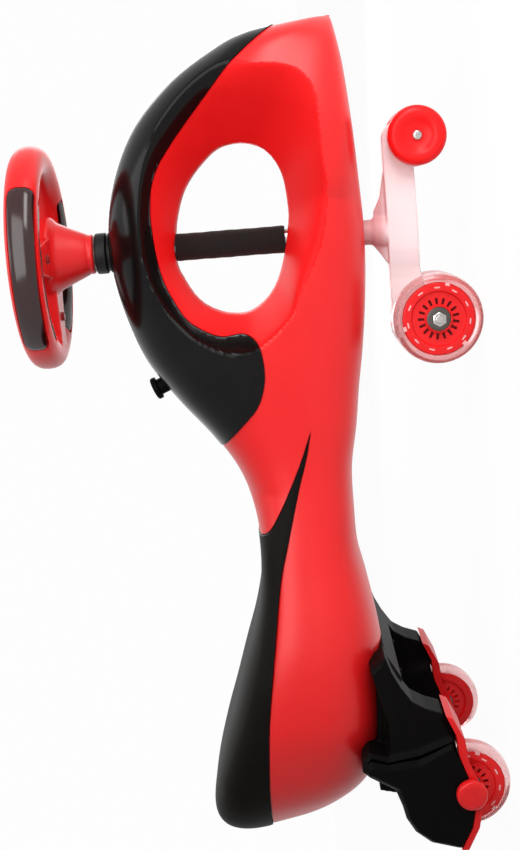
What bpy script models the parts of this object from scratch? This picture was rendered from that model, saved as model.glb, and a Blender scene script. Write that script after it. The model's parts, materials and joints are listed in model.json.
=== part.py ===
"""Swing car: a ride on car that moves when its steering wheel is swung from side to side.

Metres, +Z up, front along +X, right side along -Y. The origin is on the ground under the middle of
the car. Everything that turns with the steering is modelled upright around the Z axis and hangs
from one empty, which leans back with the column.
"""
import math

import bmesh
import bpy
import numpy as np
from mathutils import Matrix, Vector

for old in list(bpy.data.objects):
    bpy.data.objects.remove(old, do_unlink=True)

# Clearances
GAP = 0.0003               # between pieces that touch
RUN = 0.0008               # beside a part that turns
SCREW_GAP = 0.0003
BEYOND = 0.060             # how far cutters run past what they cut

# Body, side view
NOSE_X = 0.3835
NOSE_Z = 0.131
TAIL_X = -0.3825
TAIL_Z = 0.240
ARCH_X = 0.190
ARCH_Z = 0.347
BELLY_Z = 0.107
WAIST_X = -0.030
WAIST_TOP_Z = 0.237
WAIST_BOTTOM_Z = 0.128
SEAT_X = -0.130
SEAT_FRONT_Z = 0.219
SEAT_BACK_Z = 0.276
SEAT_BOTTOM_Z = 0.104

# Body, plan view
NOSE_HALF_WIDTH = 0.094
WAIST_HALF_WIDTH = 0.072
SEAT_HALF_WIDTH = 0.122

# Body surface
UPPER_SQUARENESS = 2.4
LOWER_SQUARENESS = 3.0
RING_POINTS = 20
BODY_WALL = 0.0034
DISH_DEPTH = 0.013
DISH_LENGTH = 1.50         # half axes of the dish over those of the window
DISH_HEIGHT = 1.50
DISH_EDGE = 0.30           # share of the dish taken up by its slope

# Window
WINDOW_X = 0.196
WINDOW_Z = 0.2325
WINDOW_HALF_LENGTH = 0.080
WINDOW_HALF_HEIGHT = 0.0545
WINDOW_TILT = math.radians(-6.0)
WINDOW_SQUARENESS = 2.25
WINDOW_THROAT = 0.028      # half depth of the straight part
FLARE_WIDTH = 0.020        # half axes of the flare on each side
FLARE_DEPTH = 0.064
FLARE_END = 0.010          # how far the flare runs on outside the nose
WINDOW_POINTS = 28
HOLLOW_POINTS = 14         # points of the coarser outlines inside the body

# Covers
COVER_THICKNESS = 0.0030
COVER_PROUD = 0.0010
FAIRING_RIM = 0.0155       # red rim left between window and fairing
FAIRING_LOBE_Z = 0.2065
SEAT_EDGE_Z = 0.221
SEAT_SPIKE_X = 0.009
SEAT_SPIKE_Z = 0.167

# Steering column
STEER_X = 0.1879           # where the axis meets the ground
STEER_RAKE = math.radians(1.45)
COLUMN_RADIUS = 0.0095
COLUMN_BORE = 0.0078
COLUMN_PLUG = 0.020
COLUMN_BOTTOM_Z = 0.0680
BOLT_RADIUS = 0.0040
SLEEVE_WALL = 0.0033
BUSH_WALL = 0.0042
COLLAR_RADIUS = 0.0193
COLLAR_RISE = 0.0135       # above the top of the arch
COLLAR_DEPTH = 0.020       # below the top of the arch
COLLAR_CHAMFER = 0.001
BUSH_INSET = 0.001         # from the window to the end of each bush
BUSH_RECESS = 0.0025       # from the belly to the end of the lower bush
SLEEVE_LOW_GAP = 0.007
SLEEVE_HIGH_GAP = 0.002

# Caster arm
STUB_RADIUS = 0.01175
STUB_TOP_Z = 0.150
ARM_TOP_Z = 0.0855
ARM_BOTTOM_Z = 0.0570
ARM_HALF_WIDTH = 0.0090
ARM_WAIST_HALF_WIDTH = 0.0150
ARM_HUB_RADIUS = 0.0160
ARM_BOSS_RADIUS = 0.0155
ARM_WEB_START = 0.004      # the web runs forward from the hub along the top of the arm
ARM_WEB_END = 0.070
ARM_WEB_HEIGHT = 0.013
ARM_WEB_HALF_WIDTH = 0.0055
ARM_HUB_HEIGHT = 0.0145    # of the cone under the stub, above the arm
ARM_EDGE = 0.0025
ARM_NOSE_SWELL = 0.001     # how far the round nose stands over and under the beam
ARM_FILLET_START = 0.048   # from the front axle to where the beam starts to drop
ARM_END = 0.030            # blank left beyond each axle
ARM_CLEAR = 0.0035         # from a wheel's tread to where the arm widens
ARM_SADDLE = 0.019         # half length of its widest stretch, round the column
ARM_SIDE_MARGIN = 0.002    # room for the widest part of the arm in its blank
COLUMN_BOLT_INSET = 0.0055
COLUMN_BOLT_LENGTH = 0.022
BOLT_HEAD_RADIUS = 0.0070
BOLT_HEAD_HEIGHT = 0.0045
BOLT_HEAD_ROOM = 0.0015

# Wheels
FRONT_WHEEL_RADIUS = 0.0424
REAR_WHEEL_RADIUS = 0.0388
WHEEL_WIDTH = 0.0240
TYRE_DEPTH = 0.0085
TYRE_EDGE = 0.0045
CORE_RECESS = 0.0022
AXLE_RADIUS = 0.0040
BEARING_RADIUS = 0.0110
BEARING_WIDTH = 0.0070
BEARING_RECESS = 0.0010
TYRE_SEGMENTS = 28
BEARING_FLATS = 16
FRONT_AXLE_X = 0.1032
REAR_AXLE_X = -0.3167
REAR_HALF_TRACK = 0.1090
BUMPER_WHEEL_X = 0.2719
BUMPER_WHEEL_Z = 0.0560
BUMPER_WHEEL_RADIUS = 0.0275
BUMPER_WHEEL_WIDTH = 0.0220
BUMPER_BOLT_RADIUS = 0.0030
BUMPER_DISH = 0.0050
BUMPER_DISH_RADIUS = 0.0155
BUMPER_HUB_RADIUS = 0.0130
BUMPER_EDGE = 0.0045

# Axle bolts and nuts
AXLE_HEAD_RADIUS = 0.0062
AXLE_HEAD_HEIGHT = 0.0040
AXLE_NUT_RADIUS = 0.0074
AXLE_NUT_HEIGHT = 0.0060
BUMPER_HEAD_RADIUS = 0.0047
BUMPER_HEAD_HEIGHT = 0.0030
BUMPER_NUT_RADIUS = 0.0056
BUMPER_NUT_HEIGHT = 0.0045
THREAD_END = 0.0012        # thread left past each nut

# Rear housing
FIN_HALF_THICKNESS = 0.0210
POD_HALF_THICKNESS = 0.0290
BRIDGE_HALF_WIDTH = 0.100
WHEEL_ROOM = 0.0035
HOUSING_WALL = 0.0030
HOUSING_FRONT = 0.127      # reach of the legs ahead of the axle
HOUSING_BACK = 0.055       # and behind it
HOUSING_TOP = 0.097        # top of the legs above the axle
TRAY_INSET = 0.0015
TRAY_SPLIT = 0.078         # half width of the tray's opening between the legs
TRAY_BAR = 0.012           # from the axle forward to that opening
AXLE_REACH = 0.005         # axle left outside the legs, for the caps
CAP_BORE_DEPTH = 0.0056
CAP_CHAMFER = 0.0030
CAP_RADIUS = 0.0141
CAP_DEPTH = 0.0090
HOUSING_SCREW_RADIUS = 0.0022
HOUSING_SCREW_LENGTH = 0.0160
HOUSING_SCREW_HEAD = 0.0045
HOUSING_SCREW_SIDE = 0.045
HOUSING_SCREW_PLACES = (0.030, 0.085)
SCREW_HEAD_HEIGHT = 0.0024
SCREW_SEAT = 0.0006        # how far the head stands off the slanted saddle

# Steering wheel
HUB_HEIGHT = 0.0650        # from the collar to the top of the hub
RIM_DROP = 0.0115          # from the top of the hub to the middle of the rim
SPOKE_DROP = 0.0020
SPOKE_THICKNESS = 0.0245
HUB_DEPTH = 0.0252         # from the top of the hub to the floor under the cells
HUB_FLOOR = 0.0040         # thickness of that floor
CONE_GAP = 0.0015          # between the collar and the hub
RIM_RADIUS = 0.0900        # centre line of the rim
RIM_HALF_WIDTH = 0.0150
RIM_HALF_HEIGHT = 0.0165
RIM_SQUARENESS = 2.4
RIM_SEGMENTS = 36
SHELL_WALL = 0.0030
HUB_RADIUS = 0.0380
CONE_TOP_RADIUS = 0.0300
CONE_BOTTOM_RADIUS = 0.0212
CONE_STEP = 0.0006
SPOKE_HALF_WIDTH = 0.0170
SPOKE_FOOT = 0.020         # radius where each spoke starts, inside the hub
GRIP_HALF_ANGLE = math.radians(41.0)
GRIP_DEPTH = 0.0035
GRIP_PROUD = 0.0008
CELL_RADIUS = 0.0052
CELL_LENGTH = 0.0445
BOARD_THICKNESS = 0.0016
BOARD_DROP = 0.0006        # from the seam down to the board
CELL_SHELF = 0.0020        # width of the ledge that carries the board
CELL_GAP = 0.0014          # between the bolt's head and each cell
CELL_END_RADIUS = 0.0022
CELL_END = 0.0010
HUB_BOLT_LENGTH = 0.018
WHEEL_SCREW_HEAD = 0.0042
WHEEL_SCREW_REACH = 0.0037 # above the seam
SCREW_END_ROOM = 0.0020
HUB_EDGE = 0.0020
HORN_RADIUS = 0.0255
HORN_FLANGE = 0.0022
HORN_RISE = 0.0040
HORN_LIP = 0.0030          # flange outside the button
HORN_ROOM = 0.0010         # round the flange
HORN_EDGE = 0.0030
SPRING_RADIUS = 0.0060
SPRING_WIRE = 0.0004
SPRING_TURNS = 3

# Dash knob
KNOB_X = 0.0530
KNOB_TILT = math.radians(24.0)
KNOB_RADIUS = 0.0108
KNOB_STEM_RADIUS = 0.0078
KNOB_STEM_HEIGHT = 0.0100
KNOB_HEAD_HEIGHT = 0.0055


# Materials

def finish(name, colour, roughness, metallic=0.0):
    """A plain Principled material."""
    material = bpy.data.materials.new(name)
    material.use_nodes = True
    shader = material.node_tree.nodes["Principled BSDF"]
    shader.inputs["Base Color"].default_value = (*colour, 1.0)
    shader.inputs["Roughness"].default_value = roughness
    shader.inputs["Metallic"].default_value = metallic
    return material


RED = finish("red_plastic", (0.80, 0.028, 0.030), 0.38)
BLACK = finish("black_plastic", (0.012, 0.012, 0.012), 0.34)
BLACK_GLOSS = finish("black_gloss_plastic", (0.014, 0.012, 0.012), 0.18)
FOAM = finish("black_foam", (0.010, 0.010, 0.010), 0.85)
PALE = finish("pale_plastic", (0.86, 0.70, 0.70), 0.40)
CLEAR = finish("clear_tyre", (0.90, 0.55, 0.56), 0.25)
STEEL = finish("bright_steel", (0.62, 0.60, 0.58), 0.28, 1.0)
SMOKE = finish("smoked_plastic", (0.045, 0.016, 0.020), 0.12)
BOARD_GREEN = finish("circuit_board", (0.02, 0.16, 0.06), 0.50)
CELL_SKIN = finish("cell_skin", (0.10, 0.10, 0.11), 0.40, 0.3)


# Building blocks

def axis_empty(name, x, z, lean):
    """An empty whose Z axis leans back from upright by the given angle."""
    empty = bpy.data.objects.new(name, None)
    empty.location = (x, 0.0, z)
    empty.rotation_euler = (0.0, -lean, 0.0)
    bpy.context.scene.collection.objects.link(empty)
    return empty


def place(name, bm, material=None, parent=None, location=(0.0, 0.0, 0.0), rotation=(0.0, 0.0, 0.0)):
    """Puts a bmesh into the scene as one object, with its faces turned out."""
    bmesh.ops.recalc_face_normals(bm, faces=bm.faces)
    mesh = bpy.data.meshes.new(name)
    bm.to_mesh(mesh)
    bm.free()
    mesh.shade_smooth()
    mesh.set_sharp_from_angle(angle=math.radians(35.0))
    if material:
        mesh.materials.append(material)
    thing = bpy.data.objects.new(name, mesh)
    thing.location = location
    thing.rotation_euler = rotation
    thing.parent = parent
    bpy.context.scene.collection.objects.link(thing)
    return thing


def guide(thing):
    """Marks an object that only cuts or joins others."""
    thing.hide_render = True
    thing.display_type = "WIRE"
    return thing


def combine(thing, operation, *tools):
    """Cuts, joins or intersects an object with guides, in order."""
    for tool in tools:
        modifier = thing.modifiers.new(operation.lower() + "_" + tool.name, "BOOLEAN")
        modifier.operation = operation
        modifier.solver = "EXACT"
        modifier.object = guide(tool)


def stack(rings):
    """A closed solid through rings of points, with flat ends."""
    bm = bmesh.new()
    rows = [[bm.verts.new(point) for point in ring] for ring in rings]
    for near, far in zip(rows, rows[1:]):
        for k in range(len(near)):
            m = (k + 1) % len(near)
            bm.faces.new((near[k], near[m], far[m], far[k]))
    bm.faces.new(list(reversed(rows[0])))
    bm.faces.new(rows[-1])
    return bm


def skin(rings):
    """A closed solid through rings that are not flat to each other, all in triangles."""
    bm = stack(rings)
    bmesh.ops.triangulate(bm, faces=[face for face in bm.faces if len(face.verts) == 4])
    return bm


def turned(profile, segments, phase=0.0):
    """A closed outline of (radius, height) points turned round Z. Radius 0 makes a pole."""
    bm = bmesh.new()
    columns = []
    for radius, height in profile:
        if radius < 1e-6:
            columns.append([bm.verts.new((0.0, 0.0, height))] * segments)
            continue
        column = []
        for k in range(segments):
            angle = 2.0 * math.pi * (k + phase) / segments
            column.append(bm.verts.new((radius * math.cos(angle), radius * math.sin(angle), height)))
        columns.append(column)
    for here, there in zip(columns, columns[1:] + columns[:1]):
        for k in range(segments):
            m = (k + 1) % segments
            corners = []
            for vertex in (here[k], here[m], there[m], there[k]):
                if vertex not in corners:
                    corners.append(vertex)
            if len(corners) > 2:
                bm.faces.new(corners)
    return bm


def slab(outline, low, high):
    """A side view outline of (x, z) points, extruded along Y."""
    return stack([[(x, y, z) for x, z in outline] for y in (low, high)])


def plate(outline, low, high):
    """A plan outline of (x, y) points, extruded along Z."""
    return stack([[(x, y, z) for x, y in outline] for z in (low, high)])


def block(low, high):
    """A box between two corners."""
    outline = ((low[0], low[1]), (high[0], low[1]), (high[0], high[1]), (low[0], high[1]))
    return plate(outline, low[2], high[2])


def arc(centre, radius, start, end, steps):
    """Points along an arc, angles in degrees."""
    angles = [math.radians(start + (end - start) * k / steps) for k in range(steps + 1)]
    return [(centre[0] + radius * math.cos(a), centre[1] + radius * math.sin(a)) for a in angles]


def bore_radius(radius, gap, segments):
    """Radius of a faceted bore whose flats clear a shaft by the gap."""
    return (radius + gap) / math.cos(math.pi / segments)


def smooth_line(points, steps):
    """A smooth line through all the points, with even steps between neighbours."""
    points = np.array(points, dtype=float)
    padded = np.vstack((2 * points[0] - points[1], points, 2 * points[-1] - points[-2]))
    line = []
    for k in range(1, len(padded) - 2):
        before, here, there, after = padded[k - 1:k + 3]
        for step in range(steps):
            t = step / steps
            line.append(0.5 * (2 * here + (there - before) * t
                               + (2 * before - 5 * here + 4 * there - after) * t ** 2
                               + (3 * here - before - 3 * there + after) * t ** 3))
    line.append(points[-1])
    return np.array(line)


def rounded_power(value, squareness):
    """Signed power that turns a circle into a superellipse."""
    return math.copysign(abs(value) ** (2.0 / squareness), value)


def sideways(thing):
    """Turns a piece made round Z so that its top points to the left side, along +Y."""
    thing.rotation_euler = (-math.pi / 2, 0.0, 0.0)
    return thing


# Window

def window_point(angle, grow):
    """A point of the window outline, or of the same outline grown outwards."""
    along = (WINDOW_HALF_LENGTH + grow) * rounded_power(math.cos(angle), WINDOW_SQUARENESS)
    up = (WINDOW_HALF_HEIGHT + grow) * rounded_power(math.sin(angle), WINDOW_SQUARENESS)
    return (WINDOW_X + along * math.cos(WINDOW_TILT) - up * math.sin(WINDOW_TILT),
            WINDOW_Z + along * math.sin(WINDOW_TILT) + up * math.cos(WINDOW_TILT))


def window_reach(x, z):
    """How far a point lies from the window centre: 1 on the outer edge of the dish."""
    dx = x - WINDOW_X
    dz = z - WINDOW_Z
    along = dx * math.cos(WINDOW_TILT) + dz * math.sin(WINDOW_TILT)
    up = dz * math.cos(WINDOW_TILT) - dx * math.sin(WINDOW_TILT)
    return math.hypot(along / (WINDOW_HALF_LENGTH * DISH_LENGTH), up / (WINDOW_HALF_HEIGHT * DISH_HEIGHT))


def dish(x, z):
    """Depth of the dish round the window, from 0 at its edge."""
    rise = min(max((1.0 - window_reach(x, z)) / DISH_EDGE, 0.0), 1.0)
    return DISH_DEPTH * rise * rise * (3.0 - 2.0 * rise)


def window_cutter(name, grow, points=WINDOW_POINTS):
    """The window as a solid: straight in the middle and flared to both sides."""
    side = NOSE_HALF_WIDTH + FLARE_END
    rings = []
    steps = [WINDOW_THROAT + (side - WINDOW_THROAT) * k / 4 for k in range(5)]
    for y in [-step for step in reversed(steps)] + steps:
        past = min((abs(y) - WINDOW_THROAT) / FLARE_DEPTH, 0.95)
        flare = FLARE_WIDTH * (1.0 - math.sqrt(1.0 - past ** 2))
        ring = []
        for k in range(points):
            x, z = window_point(2.0 * math.pi * k / points, grow + flare)
            ring.append((x, y, z))
        rings.append(ring)
    return guide(place(name, skin(rings)))


# Body surface

def along(start, end, shares):
    """Points given by their share of the way from one corner to the other, across and up."""
    return [(start[0] + (end[0] - start[0]) * across, start[1] + (end[1] - start[1]) * up)
            for across, up in shares]


def top_line():
    """Top of the body in the side view, from nose to tail."""
    nose = (NOSE_X, NOSE_Z)
    arch = (ARCH_X, ARCH_Z)
    waist = (WAIST_X, WAIST_TOP_Z)
    seat = (SEAT_X, SEAT_FRONT_Z)
    line = along(nose, arch, ((0.0, 0.032), (0.016, 0.125), (0.067, 0.380), (0.145, 0.532), (0.279, 0.708),
                              (0.463, 0.856), (0.680, 0.949), (0.912, 0.995)))
    line += along(arch, waist, ((0.118, 0.018), (0.323, 0.109), (0.509, 0.264), (0.686, 0.518), (0.845, 0.791),
                                (1.0, 1.0)))
    line += along(waist, seat, ((0.36, 0.72), (0.72, 1.0)))
    line += along(seat, (TAIL_X, SEAT_BACK_Z), ((0.044, 0.018), (0.202, 0.158), (0.356, 0.368), (0.515, 0.579),
                                                (0.651, 0.772), (0.798, 0.947), (0.897, 1.0)))
    return line + along((SEAT_X, SEAT_BACK_Z), (TAIL_X, TAIL_Z), ((0.960, 0.167), (0.992, 0.556), (1.0, 1.0),
                                                                  (0.998, 1.417)))


def bottom_line():
    """Bottom of the body in the side view, point for point under the top line."""
    nose = (NOSE_X, NOSE_Z)
    belly = (ARCH_X, BELLY_Z)
    waist = (WAIST_X, WAIST_BOTTOM_Z)
    line = along(nose, belly, ((0.0, 0.0), (0.047, 0.083), (0.207, 0.333), (0.320, 0.458), (0.455, 0.583),
                               (0.597, 0.708), (0.752, 0.833), (0.917, 0.958)))
    line += along(belly, waist, ((0.105, 0.0), (0.309, 0.095), (0.505, 0.286), (0.673, 0.524), (0.836, 0.714),
                                 (1.014, 1.0)))
    line += along(waist, (SEAT_X, SEAT_BOTTOM_Z), ((0.41, 0.0), (0.78, 0.083)))
    line += along((SEAT_X, WAIST_BOTTOM_Z), (TAIL_X, SEAT_BOTTOM_Z), ((0.055, 0.417), (0.214, 0.750),
                                                                      (0.356, 0.958), (0.491, 1.0)))
    return line + along((SEAT_X, SEAT_BOTTOM_Z), (TAIL_X, TAIL_Z), ((0.596, 0.015), (0.707, 0.059), (0.786, 0.132),
                                                                    (0.842, 0.221), (0.897, 0.353), (0.948, 0.529),
                                                                    (0.980, 0.691)))


def plan_line():
    """Half width of the body at places along its length, from tail to nose."""
    seat = (SEAT_X, SEAT_HALF_WIDTH)
    waist = (WAIST_X, WAIST_HALF_WIDTH)
    line = along((TAIL_X, 0.0), seat, ((0.0, 0.12), (0.030, 0.36), (0.080, 0.56), (0.170, 0.76), (0.300, 0.90),
                                       (0.500, 1.0), (0.762, 0.94)))
    line += along(seat, waist, ((0.20, 0.68), (1.0, 1.0)))
    line += along(waist, (ARCH_X, NOSE_HALF_WIDTH), ((0.50, 0.227), (1.0, 0.818)))
    return line + along((ARCH_X, 0.0), (NOSE_X, NOSE_HALF_WIDTH), ((0.500, 1.0), (0.660, 0.98), (0.800, 0.89),
                                                                   (0.900, 0.74), (0.955, 0.55), (0.985, 0.35),
                                                                   (1.0, 0.14)))


def half_width(x):
    """Half width of the body at x, read from the plan line."""
    line = smooth_line(plan_line(), 4)
    return float(np.interp(x, line[:, 0], line[:, 1]))


def body_loft(name, offset, points=RING_POINTS, first=0, last=0, every=1):
    """The body as a solid, grown by the offset, or shrunk where it is negative.

    It can leave out sections at either end, and take only every second one between.
    """
    top = np.array(top_line())
    bottom = np.array(bottom_line())
    middle = (top[:, 0] + bottom[:, 0]) / 2
    top_run = np.gradient(top, axis=0)
    bottom_run = np.gradient(bottom, axis=0)
    top_out = np.column_stack((top_run[:, 1], -top_run[:, 0]))
    bottom_out = np.column_stack((-bottom_run[:, 1], bottom_run[:, 0]))
    top = top + offset * top_out / np.linalg.norm(top_out, axis=1)[:, None]
    bottom = bottom + offset * bottom_out / np.linalg.norm(bottom_out, axis=1)[:, None]
    rings = []
    for k in range(first, len(top) - last, every):
        centre = (top[k] + bottom[k]) / 2
        reach = (top[k] - bottom[k]) / 2
        width = half_width(middle[k]) + offset
        ring = []
        for step in range(points):
            angle = 2.0 * math.pi * step / points
            squareness = UPPER_SQUARENESS if math.sin(angle) >= 0.0 else LOWER_SQUARENESS
            x, z = centre + reach * rounded_power(math.sin(angle), squareness)
            y = width * rounded_power(math.cos(angle), squareness)
            ring.append((x, y * (1.0 - dish(x, z) / width), z))
        rings.append(ring)
    return place(name, skin(rings))


# Cover outlines in the side view

def fairing_outline(inset):
    """Front fairing: along the nose, round the window, and down the rear slope."""
    front = along((NOSE_X, NOSE_Z), (ARCH_X, ARCH_Z), ((-0.103, 0.125), (0.078, 0.245), (0.134, 0.347),
                                                       (0.227, 0.431), (0.331, 0.512), (0.512, 0.643)))
    over = [window_point(math.radians(a), FAIRING_RIM) for a in range(55, 196, 10)]
    lobe = along((ARCH_X, FAIRING_LOBE_Z), (WAIST_X, WAIST_TOP_Z), ((0.441, 0.197), (0.482, 0.033), (0.564, 0.0),
                                                                    (0.664, 0.098), (0.745, 0.492), (0.868, 1.328),
                                                                    (1.0, 2.25)))
    beyond = [(WAIST_X, ARCH_Z + BEYOND), (NOSE_X + BEYOND, ARCH_Z + BEYOND), (NOSE_X + BEYOND, NOSE_Z)]
    return inset_outline(front + over + lobe + beyond, inset)


def seat_outline(inset):
    """Seat cover: a long spike forward on each flank, and the whole tail above the seat edge."""
    spike = (SEAT_SPIKE_X, SEAT_SPIKE_Z)
    lower = along(spike, (SEAT_X, SEAT_EDGE_Z), ((0.0, 0.0), (0.173, 0.102), (0.345, 0.222), (0.568, 0.370),
                                                 (0.763, 0.500), (1.0, 0.648)))
    lower += along((SEAT_X, SEAT_SPIKE_Z), (TAIL_X, SEAT_EDGE_Z), ((0.174, 0.759), (0.352, 0.870), (0.630, 0.981),
                                                                   (1.16, 1.0)))
    beyond = [(TAIL_X - BEYOND, SEAT_EDGE_Z), (TAIL_X - BEYOND, SEAT_BACK_Z + BEYOND), (SEAT_X, SEAT_BACK_Z + BEYOND)]
    front = along(spike, (SEAT_X, SEAT_FRONT_Z), ((0.899, 1.308), (0.777, 0.981), (0.662, 0.808), (0.547, 0.635),
                                                  (0.388, 0.423), (0.194, 0.192)))
    return inset_outline(lower + beyond + front, inset)


def inset_outline(points, inset):
    """The outline moved inwards everywhere by the inset."""
    area = sum(a[0] * b[1] - b[0] * a[1] for a, b in zip(points, points[1:] + points[:1]))
    turn = 1.0 if area > 0.0 else -1.0
    moved = []
    for before, here, after in zip(points[-1:] + points[:-1], points, points[1:] + points[:1]):
        arrive = (Vector(here) - Vector(before)).normalized()
        leave = (Vector(after) - Vector(here)).normalized()
        normal_in = Vector((-arrive.y, arrive.x)) * turn
        normal_out = Vector((-leave.y, leave.x)) * turn
        middle = (normal_in + normal_out).normalized()
        reach = inset / max(middle.dot(normal_in), 0.5)
        moved.append((here[0] + middle.x * reach, here[1] + middle.y * reach))
    return moved


# Steering frame

STEERING = axis_empty("steering_axis", STEER_X, 0.0, STEER_RAKE)


def in_steering_frame(x, z):
    """World side view point as (x, z) in the steering empty's own frame."""
    dx = x - STEER_X
    return (dx * math.cos(STEER_RAKE) + z * math.sin(STEER_RAKE),
            z * math.cos(STEER_RAKE) - dx * math.sin(STEER_RAKE))


COLLAR_TOP_Z = ARCH_Z + COLLAR_RISE
HUB_TOP_Z = COLLAR_TOP_Z + HUB_HEIGHT
RIM_Z = HUB_TOP_Z - RIM_DROP
SPOKE_TOP_Z = HUB_TOP_Z - SPOKE_DROP
SPOKE_BOTTOM_Z = SPOKE_TOP_Z - SPOKE_THICKNESS
HUB_FLOOR_Z = HUB_TOP_Z - HUB_DEPTH
CONE_BOTTOM_Z = COLLAR_TOP_Z + CONE_GAP
FRONT_AXLE = in_steering_frame(FRONT_AXLE_X, FRONT_WHEEL_RADIUS)
BUMPER_AXLE = in_steering_frame(BUMPER_WHEEL_X, BUMPER_WHEEL_Z)
REAR_AXLE = (REAR_AXLE_X, REAR_WHEEL_RADIUS)
WINDOW_TOP_Z = WINDOW_Z + WINDOW_HALF_HEIGHT
WINDOW_BOTTOM_Z = WINDOW_Z - WINDOW_HALF_HEIGHT
BUSH_RADIUS = STUB_RADIUS + GAP + BUSH_WALL
AXLE_FLATS = 16
SCREW_FLATS = 10
NUT_FLATS = 12
ROUND = 20


def rod(name, radius, low, high, segments=ROUND, parent=None, centre=(0.0, 0.0)):
    """A plain round rod along Z, used as a cutter."""
    profile = [(0.0, low), (radius, low), (radius, high), (0.0, high)]
    return place(name, turned(profile, segments, 0.5), parent=parent, location=(centre[0], centre[1], 0.0))


def cross_rod(name, radius, centre, low, high, segments=ROUND, parent=None):
    """A plain round rod along Y, through a side view point."""
    profile = [(0.0, low), (radius, low), (radius, high), (0.0, high)]
    thing = place(name, turned(profile, segments, 0.5), parent=parent, location=(centre[0], 0.0, centre[1]))
    return sideways(thing)


# Body shell, fairing and seat

def make_body():
    shell = body_loft("body_shell", 0.0)
    shell.data.materials.append(RED)
    floor = body_loft("recess_floor", -COVER_THICKNESS - GAP)
    side = SEAT_HALF_WIDTH + BEYOND
    fairing_room = place("fairing_room", slab(fairing_outline(0.0), -side, side))
    seat_room = place("seat_room", slab(seat_outline(0.0), -side, side))
    combine(fairing_room, "DIFFERENCE", floor)
    combine(seat_room, "DIFFERENCE", floor)
    hollow = body_loft("body_hollow", -COVER_THICKNESS - GAP - BODY_WALL, HOLLOW_POINTS, 2, 2, 2)
    combine(hollow, "DIFFERENCE", window_cutter("window_wall", BODY_WALL, HOLLOW_POINTS))
    bush_bore = bore_radius(BUSH_RADIUS, GAP, ROUND)
    column_bore = rod("column_bore", bush_bore, BELLY_Z - BEYOND, ARCH_Z + BEYOND, parent=STEERING)
    combine(shell, "DIFFERENCE", fairing_room, seat_room, window_cutter("window", 0.0), hollow, column_bore)
    for k, (x, y) in enumerate(housing_screw_places()):
        hole = rod("screw_hole_%d" % (k + 1), bore_radius(HOUSING_SCREW_RADIUS, SCREW_GAP, SCREW_FLATS),
                   SEAT_BOTTOM_Z - BEYOND, SEAT_BOTTOM_Z + BEYOND, SCREW_FLATS, centre=(x, y))
        combine(shell, "DIFFERENCE", hole)
    return shell


def make_fairing():
    fairing = body_loft("front_fairing", COVER_PROUD)
    fairing.data.materials.append(BLACK_GLOSS)
    side = SEAT_HALF_WIDTH + BEYOND
    shape = place("fairing_shape", slab(fairing_outline(GAP), -side, side))
    inside = body_loft("fairing_inside", -COVER_THICKNESS)
    hole = rod("fairing_column_hole", bore_radius(BUSH_RADIUS, GAP, ROUND), ARCH_Z - BEYOND, ARCH_Z + BEYOND,
               parent=STEERING)
    knob_hole = rod("fairing_knob_hole", bore_radius(KNOB_STEM_RADIUS, GAP, ROUND), -BEYOND / 2, BEYOND / 2,
                    parent=KNOB)
    combine(fairing, "INTERSECT", shape)
    combine(fairing, "DIFFERENCE", inside, hole, knob_hole)
    return fairing


def make_seat():
    seat = body_loft("seat_cover", COVER_PROUD)
    seat.data.materials.append(BLACK)
    side = SEAT_HALF_WIDTH + BEYOND
    shape = place("seat_shape", slab(seat_outline(GAP), -side, side))
    combine(seat, "INTERSECT", shape)
    combine(seat, "DIFFERENCE", body_loft("seat_inside", -COVER_THICKNESS))
    return seat


# Dash knob

def slope_height(x):
    """Height of the body's top line at x, between arch and seat."""
    line = np.array(sorted(top_line()))
    return float(np.interp(x, line[:, 0], line[:, 1]))


KNOB = axis_empty("knob_axis", KNOB_X, slope_height(KNOB_X), KNOB_TILT)


def make_knob():
    """A turn knob with a grooved head, on a stem that sits in the fairing."""
    stem = KNOB_STEM_RADIUS
    head = KNOB_STEM_HEIGHT
    top = head + KNOB_HEAD_HEIGHT
    foot = -COVER_THICKNESS / 2
    profile = [(0.0, foot), (stem, foot), (stem, head), (KNOB_RADIUS, head), (KNOB_RADIUS, top - 0.001),
               (KNOB_RADIUS - 0.001, top), (0.0, top)]
    knob = place("dash_knob", turned(profile, ROUND), BLACK, KNOB)
    groove = place("knob_groove", block((-KNOB_RADIUS * 1.2, -0.0012, top - 0.0020),
                                        (KNOB_RADIUS * 1.2, 0.0012, top + 0.0020)), parent=KNOB)
    combine(knob, "DIFFERENCE", groove)


# Steering column and bushes

def make_bushes():
    inner = bore_radius(COLUMN_RADIUS, GAP, ROUND)
    low = WINDOW_TOP_Z + BUSH_INSET
    step = ARCH_Z - COLLAR_DEPTH
    profile = [(inner, low), (BUSH_RADIUS, low), (BUSH_RADIUS, step), (COLLAR_RADIUS, step),
               (COLLAR_RADIUS, COLLAR_TOP_Z - COLLAR_CHAMFER), (COLLAR_RADIUS - COLLAR_CHAMFER, COLLAR_TOP_Z),
               (inner, COLLAR_TOP_Z)]
    upper = place("upper_bush", turned(profile, ROUND), BLACK, STEERING)
    seat = body_loft("bush_seat", COVER_PROUD + GAP)
    below = rod("bush_seat_core", bore_radius(BUSH_RADIUS, GAP / 2, ROUND), WINDOW_TOP_Z - COLLAR_DEPTH,
                ARCH_Z + COLLAR_DEPTH, parent=STEERING)
    combine(seat, "DIFFERENCE", below)
    combine(upper, "DIFFERENCE", seat)
    low = BELLY_Z + BUSH_RECESS
    high = WINDOW_BOTTOM_Z - BUSH_INSET
    inner = bore_radius(STUB_RADIUS, GAP, ROUND)
    profile = [(inner, low), (BUSH_RADIUS, low), (BUSH_RADIUS, high), (inner, high)]
    place("lower_bush", turned(profile, ROUND), BLACK, STEERING)


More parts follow.
